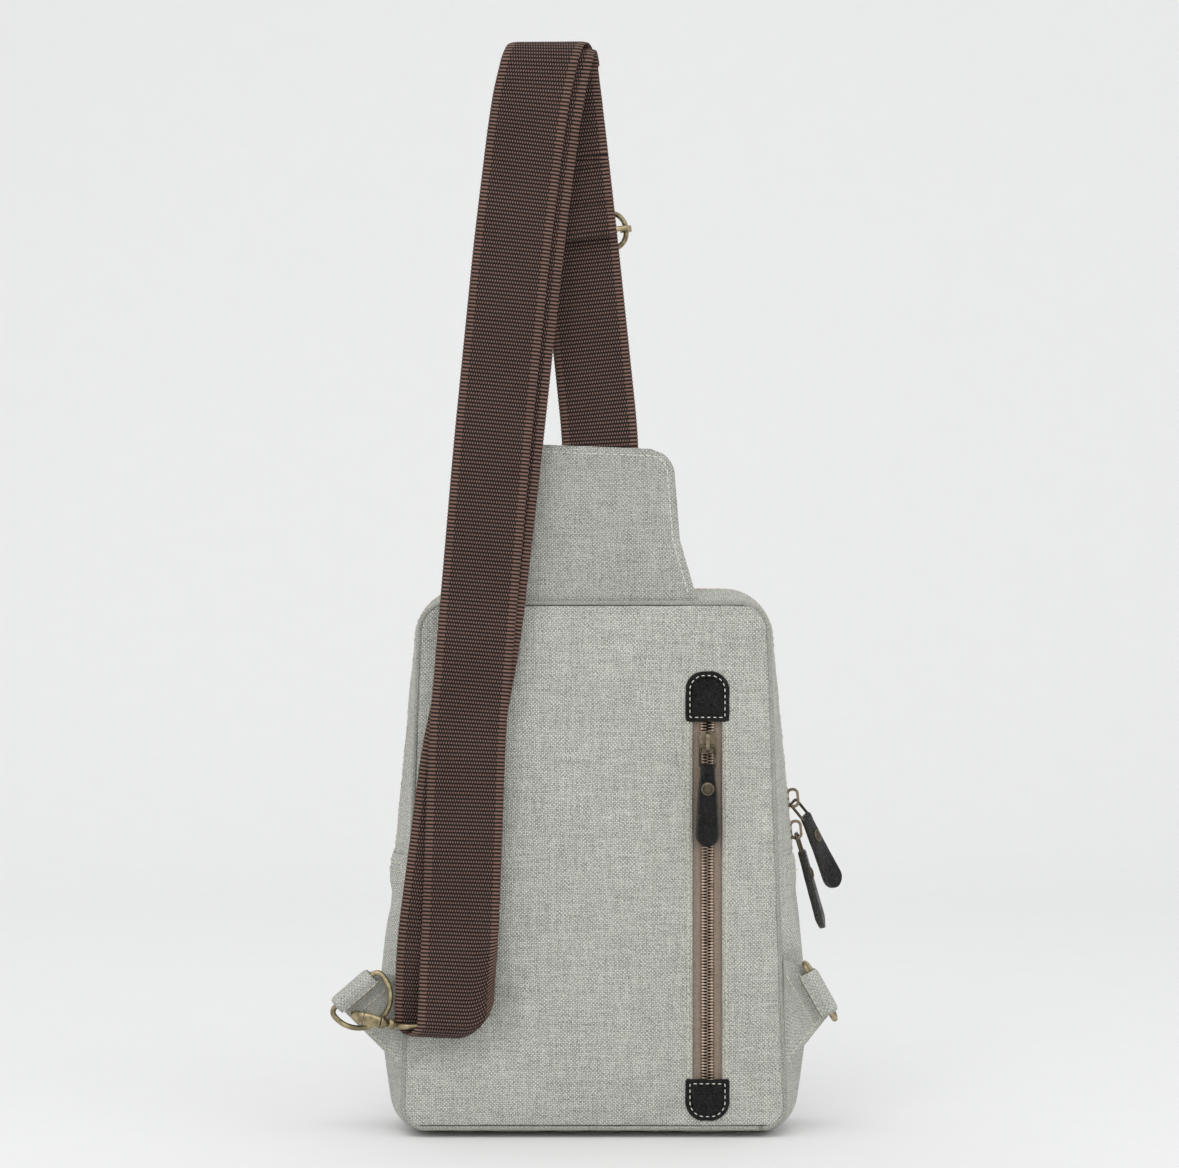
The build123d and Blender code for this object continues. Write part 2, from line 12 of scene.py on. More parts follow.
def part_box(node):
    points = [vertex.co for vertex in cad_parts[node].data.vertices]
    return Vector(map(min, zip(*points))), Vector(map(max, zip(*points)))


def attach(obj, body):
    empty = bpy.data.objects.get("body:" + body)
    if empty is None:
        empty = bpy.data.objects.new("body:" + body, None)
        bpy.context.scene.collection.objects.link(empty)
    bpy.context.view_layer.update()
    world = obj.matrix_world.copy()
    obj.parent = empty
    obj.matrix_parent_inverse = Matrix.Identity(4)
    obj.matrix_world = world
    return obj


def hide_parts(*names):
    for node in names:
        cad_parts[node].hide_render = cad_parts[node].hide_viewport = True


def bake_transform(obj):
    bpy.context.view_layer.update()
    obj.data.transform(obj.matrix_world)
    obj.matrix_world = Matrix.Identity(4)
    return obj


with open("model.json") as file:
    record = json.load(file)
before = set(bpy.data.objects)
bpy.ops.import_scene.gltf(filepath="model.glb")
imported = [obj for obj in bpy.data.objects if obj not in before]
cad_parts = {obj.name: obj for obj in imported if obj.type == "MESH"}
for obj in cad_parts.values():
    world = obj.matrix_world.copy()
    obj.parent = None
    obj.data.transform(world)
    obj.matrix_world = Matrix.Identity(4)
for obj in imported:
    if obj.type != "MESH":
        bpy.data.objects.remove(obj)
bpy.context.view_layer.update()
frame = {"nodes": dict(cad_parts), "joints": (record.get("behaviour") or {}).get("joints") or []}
JOINTS = {j["name"]: j for j in frame["joints"]}
MM = 0.001

# the bag's shape, in the same frame as the CAD
HALF_DEPTH = 36.0
SEAM_Y = 33.4
PANEL = {"low": 95.0, "top": 86.0, "corner_low": 11.0, "corner_top": 15.0, "height": 264.0}
BAND = {"low": 98.0, "wide": 106.5, "wide_z": 62.0, "top": 87.0, "height": 270.0}
BAND.update({"corner_low": 16.0, "corner_top": 24.0})
PANEL_FOOT = 4.0
PANEL_INSET = 0.5
FLAT_BAND = 12.0
FOLD_Z = 139.0
SLOT_HALF = 7.0
CANVAS_T = 1.4
SEAM_R = 1.2
# the side pulls hang over this much of the side, either way from its middle
PULL_REACH = 14.0
STITCH_LEN, STITCH_GAP, THREAD_R = 2.5, 0.8, 0.24
WEB_W, WEB_T, RIB = 38.0, 1.6, 1.86


def box_mm(node):
    low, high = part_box(node)
    return np.array(low) / MM, np.array(high) / MM


def vertices_mm(node):
    mesh = frame["nodes"][node].data
    co = np.zeros(len(mesh.vertices) * 3)
    mesh.vertices.foreach_get("co", co)
    return co.reshape(-1, 3) / MM


# ---- mesh helpers
def add_mesh(name, verts, faces, uv=None):
    """A smooth mesh object; uv is one (u, v) pair in millimetres for each vertex."""
    mesh = bpy.data.meshes.new(name)
    mesh.from_pydata((np.asarray(verts, float) * MM).tolist(), [], [tuple(int(i) for i in f) for f in faces])
    if uv is not None:
        layer = mesh.uv_layers.new(name="mm")
        loops = np.zeros(len(mesh.loops), int)
        mesh.loops.foreach_get("vertex_index", loops)
        layer.data.foreach_set("uv", np.asarray(uv, float)[loops].ravel())
    mesh.polygons.foreach_set("use_smooth", [True] * len(mesh.polygons))
    obj = bpy.data.objects.new(name, mesh)
    bpy.context.scene.collection.objects.link(obj)
    return obj


def face_outward(obj):
    """Turn every closed shell of a mesh to face out."""
    shape = bmesh.new()
    shape.from_mesh(obj.data)
    bmesh.ops.recalc_face_normals(shape, faces=shape.faces)
    shape.to_mesh(obj.data)
    shape.free()
    return obj


def grid_faces(rows, cols, wrap_rows=False, wrap_cols=False):
    """Quads of a grid stored row by row."""
    faces = []
    for r in range(rows if wrap_rows else rows - 1):
        for c in range(cols if wrap_cols else cols - 1):
            r2, c2 = (r + 1) % rows, (c + 1) % cols
            faces.append((r * cols + c, r * cols + c2, r2 * cols + c2, r2 * cols + c))
    return faces


def sleeve_faces(rows, ring):
    """Quads of a closed sleeve of rings, and a face over each end."""
    caps = [tuple(range(ring)), tuple(range((rows - 1) * ring, rows * ring))[::-1]]
    return grid_faces(rows, ring, wrap_cols=True) + caps


def round_trip(count):
    """Side and column of each point of a flat ring: across the front, then back across the rear."""
    return [(1, c) for c in range(count)] + [(-1, c) for c in reversed(range(count))]


def finish_piece(obj, material, body, *nodes, slot):
    obj.data.materials.clear()
    obj.data.materials.append(material)
    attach(obj, body)
    if nodes:
        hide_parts(*nodes)
    return obj


def unit(v):
    v = np.asarray(v, float)
    return v / max(np.linalg.norm(v), 1e-12)


def ease(x, low, high):
    """0 below low, 1 above high, smooth between."""
    t = np.clip((np.asarray(x, float) - low) / (high - low), 0, 1)
    return t * t * (3 - 2 * t)


def lumps(x, y, z, scale=1.0):
    """Smooth noise, between about -1 and 1."""
    return noise.noise(Vector((x, y, z)) * scale)


# ---- shader helpers
def new_material(name):
    mat = bpy.data.materials.new(name)
    mat.use_nodes = True
    tree = mat.node_tree
    return mat, tree, tree.nodes["Principled BSDF"]


def math_node(tree, op, a, b=None):
    n = tree.nodes.new("ShaderNodeMath")
    n.operation = op
    for i, value in enumerate((a, b)):
        if isinstance(value, (int, float)):
            n.inputs[i].default_value = value
        elif value is not None:
            tree.links.new(value, n.inputs[i])
    return n.outputs[0]


def weighted(tree, *terms):
    """The sum of (value, weight) pairs; a weight may be a number or another value."""
    parts = [math_node(tree, "MULTIPLY", value, weight) for value, weight in terms]
    total = parts[0]
    for part in parts[1:]:
        total = math_node(tree, "ADD", total, part)
    return total


def mix_colour(tree, factor, a, b):
    n = tree.nodes.new("ShaderNodeMix")
    n.data_type = "RGBA"
    for socket, value in ((n.inputs[0], factor), (n.inputs[6], a), (n.inputs[7], b)):
        if isinstance(value, tuple):
            socket.default_value = (*value, 1.0)
        else:
            tree.links.new(value, socket)
    return n.outputs[2]


def noise_node(tree, vector, scale, detail=3.0, roughness=0.55):
    n = tree.nodes.new("ShaderNodeTexNoise")
    n.inputs["Scale"].default_value = scale
    n.inputs["Detail"].default_value = detail
    n.inputs["Roughness"].default_value = roughness
    tree.links.new(vector, n.inputs["Vector"])
    return n.outputs["Fac"]


def scaled(tree, vector, factors):
    n = tree.nodes.new("ShaderNodeMapping")
    n.inputs["Scale"].default_value = factors
    tree.links.new(vector, n.inputs["Vector"])
    return n.outputs["Vector"]


def cloth_noise(tree, uv, across, along, detail=3.0, roughness=0.55, scale=1.0):
    """Noise over the cloth, with its own frequency in each direction."""
    return noise_node(tree, scaled(tree, uv, (across, along, 1)), scale, detail, roughness)


def spread(tree, value, low, high):
    """Stretch a value so that low becomes 0 and high becomes 1."""
    n = tree.nodes.new("ShaderNodeMapRange")
    n.inputs["From Min"].default_value = low
    n.inputs["From Max"].default_value = high
    tree.links.new(value, n.inputs["Value"])
    return n.outputs["Result"]


def raised_edges(tree, low, high):
    """1 on sharp outer edges, 0 on flat faces and in hollows."""
    return spread(tree, tree.nodes.new("ShaderNodeNewGeometry").outputs["Pointiness"], low, high)


def bump(tree, height, shader, distance, strength=1.0):
    n = tree.nodes.new("ShaderNodeBump")
    n.inputs["Strength"].default_value = strength
    n.inputs["Distance"].default_value = distance
    tree.links.new(height, n.inputs["Height"])
    tree.links.new(n.outputs["Normal"], shader.inputs["Normal"])


def cloth_coords(tree):
    """The place on the cloth in millimetres: as a vector, across and along."""
    uv = tree.nodes.new("ShaderNodeUVMap")
    uv.uv_map = "mm"
    parts = tree.nodes.new("ShaderNodeSeparateXYZ")
    tree.links.new(uv.outputs[0], parts.inputs[0])
    return uv.outputs[0], parts.outputs[0], parts.outputs[1]


def object_coords(tree):
    return tree.nodes.new("ShaderNodeTexCoord").outputs["Object"]


def sine_of(tree, value, pitch):
    return math_node(tree, "SINE", math_node(tree, "MULTIPLY", value, math.pi / pitch))


# ---- materials
def weave_material(name, dark, light, pitch=0.92, depth_m=0.00022):
    """Plain-woven cloth: over-and-under yarns, slubs along both directions, faint mottling."""
    mat, tree, shader = new_material(name)
    uv, u, v = cloth_coords(tree)
    # a little wander, so that yarns aren't ruled lines
    wander = math_node(tree, "SUBTRACT", cloth_noise(tree, uv, 0.05, 0.05, 2.0), 0.5)
    wander = math_node(tree, "MULTIPLY", wander, 3.0)
    across = sine_of(tree, math_node(tree, "ADD", u, wander), pitch)
    along = sine_of(tree, math_node(tree, "ADD", v, wander), pitch)
    over = math_node(tree, "GREATER_THAN", math_node(tree, "MULTIPLY", across, along), 0.0)
    under = math_node(tree, "SUBTRACT", 1.0, over)
    warp, weft = math_node(tree, "ABSOLUTE", across), math_node(tree, "ABSOLUTE", along)
    height = weighted(tree, (warp, over), (weft, under))
    slub_u, slub_v = cloth_noise(tree, uv, 0.10, 1.3, 3.0, 0.7), cloth_noise(tree, uv, 1.3, 0.10, 3.0, 0.7)
    slub = weighted(tree, (slub_u, under), (slub_v, over))
    fine = cloth_noise(tree, uv, 1.0, 1.0, 2.0, 0.8, scale=0.9)
    mottle = cloth_noise(tree, uv, 0.02, 0.02)
    thick_u = cloth_noise(tree, uv, 0.04, 0.42, 3.0, 0.6)
    thick_v = cloth_noise(tree, uv, 0.42, 0.04, 3.0, 0.6)
    tone = weighted(
        tree, (slub, 0.62), (height, 0.30), (fine, 0.85), (mottle, 0.12), (over, 0.17),
        (thick_u, 0.22), (thick_v, 0.22),
    )
    tree.links.new(mix_colour(tree, spread(tree, tone, 1.09, 1.50), dark, light), shader.inputs["Base Color"])
    shader.inputs["Roughness"].default_value = 0.92
    shader.inputs["Sheen Weight"].default_value = 0.12
    shader.inputs["Sheen Roughness"].default_value = 0.5
    bump(tree, weighted(tree, (height, 1.0), (slub, 0.5)), shader, depth_m)
    return mat


def webbing_material(name, dark, light, column=0.62, selvedge=15.0):
    """Ribbed webbing: crosswise ribs, warp floats in staggered columns, plain ribs at the edges; the colour
    paints shade into the gaps between ribs and highlight onto their crests.
    """
    mat, tree, shader = new_material(name)
    uv, u, v = cloth_coords(tree)
    ribs = math_node(tree, "ABSOLUTE", sine_of(tree, v, RIB))
    stagger = math_node(tree, "FLOOR", math_node(tree, "DIVIDE", v, RIB))
    floats = spread(tree, sine_of(tree, weighted(tree, (u, 1.0), (stagger, column)), column), -0.3, 0.9)
    middle = math_node(tree, "LESS_THAN", math_node(tree, "ABSOLUTE", u), selvedge)
    edge = math_node(tree, "SUBTRACT", 1.0, middle)
    pattern = weighted(tree, (floats, middle), (edge, 0.62))
    raised = math_node(tree, "ADD", math_node(tree, "MULTIPLY", pattern, 0.6), 0.4)
    height = math_node(tree, "MULTIPLY", ribs, raised)
    fibre = cloth_noise(tree, uv, 3.0, 1.0, 3.0, 0.7)
    wear = cloth_noise(tree, uv, 0.03, 0.03, 2.0)
    # the tone follows the rib height: painted shade in the gaps between ribs and painted highlight on the
    # crests; the floats' pattern, fibre and wear noise are the webbing's own tone
    tone = weighted(tree, (height, 0.95), (fibre, 0.30), (wear, 0.12))
    tree.links.new(mix_colour(tree, spread(tree, tone, 0.54, 1.08), dark, light), shader.inputs["Base Color"])
    shader.inputs["Roughness"].default_value = 0.78
    shader.inputs["Sheen Weight"].default_value = 0.05
    shader.inputs["Specular IOR Level"].default_value = 0.25
    bump(tree, height, shader, 0.0007)
    return mat


def leather_material(name, base, cut):
    """Pebbled leather with fine creases, a soft polish in patches, paler cut edges, and highlights painted as
    paler lines along the crease ridges.
    """
    mat, tree, shader = new_material(name)
    coord = object_coords(tree)
    cells = tree.nodes.new("ShaderNodeTexVoronoi")
    cells.feature = "DISTANCE_TO_EDGE"
    cells.inputs["Scale"].default_value = 850
    tree.links.new(coord, cells.inputs["Vector"])
    pebble = spread(tree, cells.outputs["Distance"], 0.0, 0.28)
    crease = noise_node(tree, coord, 420, 4.0, 0.6)
    smudge = noise_node(tree, coord, 90)
    wrinkle = noise_node(tree, scaled(tree, coord, (1.0, 1.0, 0.45)), 420, 4.0, 0.75)
    worn = tuple(min(1.0, c * 2.6 + 0.003) for c in base)
    colour = mix_colour(tree, spread(tree, smudge, 0.35, 0.8), base, worn)
    # painted highlight: paler lines along the wrinkle ridges, in the cut edges' colour, standing in for
    # glossy creases catching the light
    painted_highlight = math_node(tree, "MULTIPLY", spread(tree, wrinkle, 0.55, 0.72), 0.55)
    colour = mix_colour(tree, painted_highlight, colour, cut)
    colour = mix_colour(tree, raised_edges(tree, 0.53, 0.60), colour, cut)
    tree.links.new(colour, shader.inputs["Base Color"])
    polish = weighted(tree, (crease, 0.5), (smudge, 0.5))
    tree.links.new(spread(tree, polish, 0.28, 0.95), shader.inputs["Roughness"])
    shader.inputs["Specular IOR Level"].default_value = 0.42
    bump(tree, weighted(tree, (pebble, 1.0), (crease, 1.2), (wrinkle, 3.0)), shader, 0.00085)
    return mat


def metal_material(name, base, dull, dark_share, roughness=0.33, scale=160):
    """Antiqued metal: dark patina in patches, brighter where it is worn."""
    mat, tree, shader = new_material(name)
    coord = object_coords(tree)
    patina = noise_node(tree, coord, scale, 5.0, 0.65)
    bright = weighted(tree, (spread(tree, patina, *dark_share), 1.0), (raised_edges(tree, 0.5, 0.56), 0.6))
    bright = math_node(tree, "MINIMUM", bright, 1.0)
    tree.links.new(mix_colour(tree, bright, dull, base), shader.inputs["Base Color"])
    shader.inputs["Metallic"].default_value = 1.0
    grain = noise_node(tree, coord, scale * 9, 3.0, 0.7)
    smooth_at, rough_at = 0.5 - roughness * 3, 0.5 + (1 - roughness) * 2.2
    tree.links.new(spread(tree, grain, smooth_at, rough_at), shader.inputs["Roughness"])
    bump(tree, weighted(tree, (patina, 1.0), (grain, 0.25)), shader, 0.00006, 0.6)
    return mat


def thread_material(name, base):
    """Twisted sewing thread."""
    mat, tree, shader = new_material(name)
    twist = tree.nodes.new("ShaderNodeTexWave")
    twist.inputs["Scale"].default_value = 900
    tree.links.new(object_coords(tree), twist.inputs["Vector"])
    dark = tuple(c * 0.72 for c in base)
    tree.links.new(mix_colour(tree, twist.outputs["Fac"], dark, base), shader.inputs["Base Color"])
    shader.inputs["Roughness"].default_value = 0.7
    bump(tree, twist.outputs["Fac"], shader, 0.0001)
    return mat


CANVAS = weave_material("canvas", (0.205, 0.215, 0.185), (0.685, 0.69, 0.63))
# the tongue's canvas a little darker than the panels': painted shade for the tongue leaning back from the
# light
TONGUE_CANVAS_PAINTED_SHADE = weave_material("canvas_tongue_painted_shade", (0.185, 0.195, 0.168), (0.605, 0.61, 0.56))
TAB_CANVAS = weave_material("canvas_tab", (0.25, 0.26, 0.23), (0.62, 0.625, 0.575))
# a darker copy of the canvas for the seam rolls: painted shade along the seams, not a different cloth
CANVAS_SHADE = weave_material("canvas_seam_painted_shade", (0.22, 0.23, 0.195), (0.47, 0.475, 0.43), pitch=1.0)
LINING = weave_material("lining", (0.05, 0.048, 0.044), (0.11, 0.105, 0.095), pitch=0.7)
PADDING = weave_material("padding", (0.55, 0.55, 0.52), (0.75, 0.75, 0.72), pitch=1.6)
TAPE = weave_material("zip_tape", (0.20, 0.150, 0.115), (0.36, 0.285, 0.225), pitch=0.62, depth_m=0.00012)
WEBBING = webbing_material("webbing", (0.0100, 0.0052, 0.0040), (0.285, 0.168, 0.132))
LEATHER = leather_material("leather", (0.0010, 0.0010, 0.0011), (0.045, 0.042, 0.040))
CUT_LEATHER = leather_material("cut_leather", (0.030, 0.028, 0.026), (0.070, 0.066, 0.062))
BRASS = metal_material("antique_brass", (0.46, 0.38, 0.23), (0.085, 0.068, 0.042), (0.44, 0.68))
DARK_BRASS = metal_material("dark_brass", (0.215, 0.178, 0.125), (0.036, 0.030, 0.023), (0.44, 0.74))
TEETH = metal_material("zip_teeth", (0.52, 0.395, 0.31), (0.105, 0.075, 0.058), (0.42, 0.66), roughness=0.26)
THREAD = thread_material("thread", (0.80, 0.77, 0.64))
PALE_THREAD = thread_material("pale_thread", (0.88, 0.86, 0.78))
BROWN_THREAD = thread_material("brown_thread", (0.035, 0.020, 0.016))


# ---- outlines
def rounded(points, radii, step=1.0):
    """Dense closed polyline of a polygon with rounded corners."""
    out = []
    count = len(points)
    for i, radius in enumerate(radii):
        here, before, after = (np.array(points[j % count], float) for j in (i, i - 1, i + 1))
        a, b = unit(before - here), unit(after - here)
        half = math.acos(np.clip(a @ b, -1, 1)) / 2
        centre = here + unit(a + b) * radius / math.sin(half)
        reach = radius / math.tan(half)
        start, end = here + a * reach - centre, here + b * reach - centre
        turn = math.pi - 2 * half
        stops = max(2, int(turn * radius / step) + 1)
        for share in np.arange(stops + 1) / stops:
            direction = math.sin((1 - share) * turn) * start + math.sin(share * turn) * end
            out.append(centre + unit(direction) * radius)
    return np.array(out)


def looped(line):
    """An outline with its first point again at its end."""
    return np.concatenate([line, line[:1]])


def close_gap(line, step):
    """Fill long straight runs so that every part of a line has points."""
    filled = [line[0]]
    for a, b in zip(line, line[1:]):
        n = max(1, int(np.linalg.norm(b - a) / step))
        filled += [a + (b - a) * k / n for k in range(1, n + 1)]
    return np.array(filled)


def filled_outline(line, step=1.0):
    """A closed outline with points all along its straight runs."""
    return close_gap(looped(line), step)[:-1]


def arc_lengths(line):
    return np.concatenate([[0], np.cumsum(np.linalg.norm(np.diff(line, axis=0), axis=1))])


def sample(line, count=None, at=None):
    """Points at equal steps along an open polyline, or at the given lengths."""
    lengths = arc_lengths(line)
    wanted = np.linspace(0, lengths[-1], count) if at is None else np.asarray(at)
    return np.stack([np.interp(wanted, lengths, line[:, i]) for i in range(line.shape[1])], axis=1)


def evenly(path, step):
    return sample(path, max(4, int(arc_lengths(path)[-1] / step) + 1))


def nearest(line, axis, value, allowed):
    """Which of a line's allowed points comes closest to a value along one axis."""
    return int(np.argmin(np.abs(line[:, axis] - value) + np.where(allowed, 0, 999)))


def panel_line():
    p = PANEL
    right = [(p["low"], PANEL_FOOT), (p["top"], p["height"])]
    left = [(-x, z) for x, z in reversed(right)]
    low, top = p["corner_low"], p["corner_top"]
    return filled_outline(rounded(right + left, [low, top, top, low]))


def band_line():
    b = BAND
    right = [(b["low"], 0), (b["wide"], b["wide_z"]), (b["top"], b["height"])]
    left = [(-x, z) for x, z in reversed(right)]
    low, top = b["corner_low"], b["corner_top"]
    return filled_outline(rounded(right + left, [low, low, top, top, low, low]))


def from_bottom(line):
    """Start a closed counter-clockwise outline at its bottom centre and end it there."""
    line = np.roll(line, -nearest(line, 0, 0.0, line[:, 1] < 20), axis=0)
    bottom = np.array([[0.0, line[:, 1].min()]])
    ahead = line[1:] if line[0, 0] <= 0 else line
    return np.concatenate([bottom, ahead, bottom])


def matched(step):
    """The panel's and the band's outlines as equally long lists of matching points, from the bottom round."""
    quarters = []
    for line in (from_bottom(panel_line()), from_bottom(band_line())):
        right = nearest(line, 1, BAND["wide_z"], line[:, 0] > 0)
        left = nearest(line, 1, BAND["wide_z"], line[:, 0] < 0)
        top = nearest(line, 0, 0.0, line[:, 1] > 200)
        quarters.append([line[: right + 1], line[right : top + 1], line[top : left + 1], line[left:]])
    out = [[], []]
    for panel_run, band_run in zip(*quarters):
        count = int(arc_lengths(band_run)[-1] / step)
        out[0].append(sample(panel_run, count + 1)[:-1])
        out[1].append(sample(band_run, count + 1)[:-1])
    return np.concatenate(out[0]), np.concatenate(out[1])


def normals_of(points):
    """Outward normal of a closed counter-clockwise outline at each point."""
    tangent = np.roll(points, -1, axis=0) - np.roll(points, 1, axis=0)
    tangent /= np.linalg.norm(tangent, axis=1)[:, None]
    return np.stack([tangent[:, 1], -tangent[:, 0]], axis=1)


STEP = 4.5
PANEL_PTS, BAND_PTS = matched(STEP)
AROUND = len(BAND_PTS)
BAND_LEN = arc_lengths(looped(BAND_PTS))
BAND_N = normals_of(BAND_PTS)
RING_Z = BAND_PTS[:, 1]


def shell_row(y):
    """The bag's side at one depth: full width in the middle, easing to the panel's outline at the seams."""
    away = max(0.0, (abs(y) - FLAT_BAND) / (SEAM_Y - FLAT_BAND))
    ring = PANEL_PTS + (BAND_PTS - PANEL_PTS) * (1 - away ** 1.7)
    return np.stack([ring[:, 0], np.full(AROUND, y), ring[:, 1]], axis=1)


# ---- soft body: one cloth mesh, split afterwards
# how far the settled cloth may move from its drawn place
MOVE = {"panel": 3.4, "by_clasp": 0.5, "strip": 1.3, "lower": 2.6, "by_pulls": 0.3}
LIFT_BY_PULLS = 0.15
verts, faces, uvs, pins, caps, ranges = [], [], [], [], [], {}


def add_part(name, points, part_faces, uv, pin, cap):
    start = sum(len(v) for v in verts)
    ranges[name] = (start, len(points), part_faces)
    verts.append(np.array(points))
    faces.extend([tuple(i + start for i in f) for f in part_faces])
    uvs.append(np.array(uv))
    pins.append(np.array(pin))
    caps.append(np.array(cap))


def side_part(name, depths, picked, lifts=None):
    """Part of the bag's side: the picked stretch of the outline across the given depths."""
    rows = [shell_row(y) for y in depths]
    is_lower = lifts is not None
    points, uv, pin, cap = [], [], [], []
    for k, i in enumerate(picked):
        at = i % AROUND
        outward = np.array([BAND_N[at][0], 0, BAND_N[at][1]])
        for y, row in zip(depths, rows):
            p = row[at].copy()
            by_pulls = p[0] > 0 and abs(y) < PULL_REACH
            if is_lower:
                lift = LIFT_BY_PULLS * lifts[k] if by_pulls else lifts[k]
                p += outward * lift * float(1 - ease(abs(y), 20, 32))
            points.append(p)
            uv.append((BAND_LEN[at] + (BAND_LEN[-1] if i >= AROUND else 0), y))
            at_seam = min(abs(y - depths[0]), abs(y - depths[-1])) < 0.1
            at_end = k in (0, len(picked) - 1)
            near_zip = not is_lower and abs(y) < 10
            pin.append(1.0 if at_seam or at_end or near_zip else 0.0)
            below_pulls = is_lower and by_pulls and RING_Z[at] > 80
            cap.append(MOVE["by_pulls"] if below_pulls else MOVE["lower"] if is_lower else MOVE["strip"])
    add_part(name, points, grid_faces(len(picked), len(depths)), uv, pin, cap)


upper_idx = [i for i in range(AROUND) if RING_Z[i] > FOLD_Z - 9]
lower_idx = list(range(upper_idx[-1] - 2, AROUND)) + list(range(AROUND, AROUND + upper_idx[0] + 3))
lower_idx = [i for i in lower_idx if RING_Z[i % AROUND] <= FOLD_Z + 3]
# the lower panel stands out over the zip strips at its folded upper edge
lower_lift = [1.5 * float(ease(RING_Z[i % AROUND], FOLD_Z - 26, FOLD_Z - 6)) for i in lower_idx]
REAR_DEPTHS = [-SEAM_Y, -30.5, -27, -23.5, -20, -16.5, -13.2, -10.4, -8.4, -7.0]
FRONT_DEPTHS = [-y for y in reversed(REAR_DEPTHS)]
side_part("rear_strip", REAR_DEPTHS, upper_idx)
side_part("front_strip", FRONT_DEPTHS, upper_idx)
side_part("lower", REAR_DEPTHS + [-3.5, 0.0, 3.5] + FRONT_DEPTHS, lower_idx, lower_lift)


def panel_half(z):
    """Half width of a flat panel at a height."""
    p = PANEL
    wide = np.interp(z, [PANEL_FOOT, p["height"]], [p["low"], p["top"]]) - PANEL_INSET
    up, down = z - PANEL_FOOT, p["height"] - z
    corner = (p["corner_low"] if up < down else p["corner_top"]) - 1.0
    near = min(up, down)
    if near < corner:
        wide -= corner - math.sqrt(max(0.0, corner ** 2 - (corner - near) ** 2))
    return wide


def panel_part(name, y, slot=None):
    """A flat panel as a grid, with a long opening if slot gives its lowest and highest corner in (x, z)."""
    slot_x = [] if slot is None else [slot[0][0], slot[1][0]]
    widest = [-PANEL["low"], *slot_x, PANEL["low"]]
    counts = [max(2, int(abs(b - a) / STEP)) for a, b in zip(widest, widest[1:])]
    ramp = np.array([1.6, 2.6, 4.4, 7.2, 11.0])
    inner = np.arange(15.5, PANEL["height"] - PANEL_FOOT - 15.0, STEP)
    heights = np.concatenate([ramp + PANEL_FOOT, inner + PANEL_FOOT, PANEL["height"] - ramp[::-1]])
    points, uv, pin, cap = [], [], [], []
    columns = sum(counts) + 1
    for z in heights:
        half = panel_half(z)
        edges = [-half, *slot_x, half]
        row = [a + (b - a) * t / n for a, b, n in zip(edges, edges[1:], counts) for t in range(n)] + [half]
        for c, x in enumerate(row):
            points.append((x, y, z))
            uv.append((x, z))
            at_edge = c in (0, columns - 1) or z < PANEL_FOOT + 2 or z > PANEL["height"] - 2
            near_slot = slot is not None and slot_x[0] - 6 < x < slot_x[1] + 6
            pin.append(1.0 if at_edge or near_slot else 0.0)
            by_clasp = y < 0 and x < -40 and 36 < z < 78
            cap.append(MOVE["by_clasp"] if by_clasp else MOVE["panel"])
    quads = grid_faces(len(heights), columns)
    if y > 0:
        quads = [tuple(reversed(q)) for q in quads]
    if slot is not None:
        centres = np.array(points)[np.array(quads)].mean(1)[:, [0, 2]]
        in_slot = ((slot[0] < centres) & (centres < slot[1])).all(1)
        quads = [q for q, gone in zip(quads, in_slot) if not gone]
    add_part(name, points, quads, uv, pin, cap)


chain_low, chain_high = box_mm("back_zip_chain")
ZIP_X = (chain_low[0] + chain_high[0]) / 2
SLOT = (np.array([ZIP_X - SLOT_HALF, chain_low[2]]), np.array([ZIP_X + SLOT_HALF, chain_high[2]]))
panel_part("back", -HALF_DEPTH, SLOT)
panel_part("front", HALF_DEPTH)


def settle(rest, frames=20):
    """Fill the bag: pressure swells the cloth between its seams, and a little spare cloth lets it buckle."""
    obj = add_mesh("shell_cloth", rest, faces)
    group = obj.vertex_groups.new(name="pin")
    group.add([int(i) for i in np.nonzero(np.concatenate(pins) >= 1.0)[0]], 1.0, "REPLACE")
    mod = obj.modifiers.new("Cloth", "CLOTH")
    s = mod.settings
    s.quality = 8
    s.mass = 0.35
    s.tension_stiffness = 18
    s.compression_stiffness = 6
    s.shear_stiffness = 6
    s.bending_stiffness = 1.2
    s.use_pressure = True
    s.uniform_pressure_force = 1.9
    s.shrink_min = -0.012
    s.vertex_group_mass = "pin"
    s.effector_weights.gravity = 0
    mod.collision_settings.use_collision = False
    mod.point_cache.frame_start = 1
    mod.point_cache.frame_end = frames
    scene = bpy.context.scene
    for f in range(1, frames + 1):
        scene.frame_set(f)
    moved = obj.evaluated_get(bpy.context.evaluated_depsgraph_get())
    co = np.zeros(len(moved.data.vertices) * 3)
    moved.data.vertices.foreach_get("co", co)
    scene.frame_set(1)
    bpy.data.objects.remove(obj)
    return co.reshape(-1, 3) / MM


def soft_shape():
    """Every cloth point at its settled place: small moves are kept, large ones level off at their cap."""
    rest, cap = np.concatenate(verts), np.concatenate(caps)
    shift = settle(rest) - rest
    length = np.linalg.norm(shift, axis=1)
    level = np.tanh(length / cap) * cap / np.maximum(length, 1e-9)
    soft = rest + shift * np.where(length > 1e-9, level, 0)[:, None]
    soft[:, 2] = np.maximum(soft[:, 2], 0.0)
    for name, outward in (("back", -1), ("front", 1)):
        first, count, _ = ranges[name]
        part = slice(first, first + count)
        soft[part, 1] = outward * np.maximum(outward * soft[part, 1], HALF_DEPTH)
    return soft


SOFT = soft_shape()
SURFACE = BVHTree.FromPolygons([tuple(v) for v in SOFT], faces)


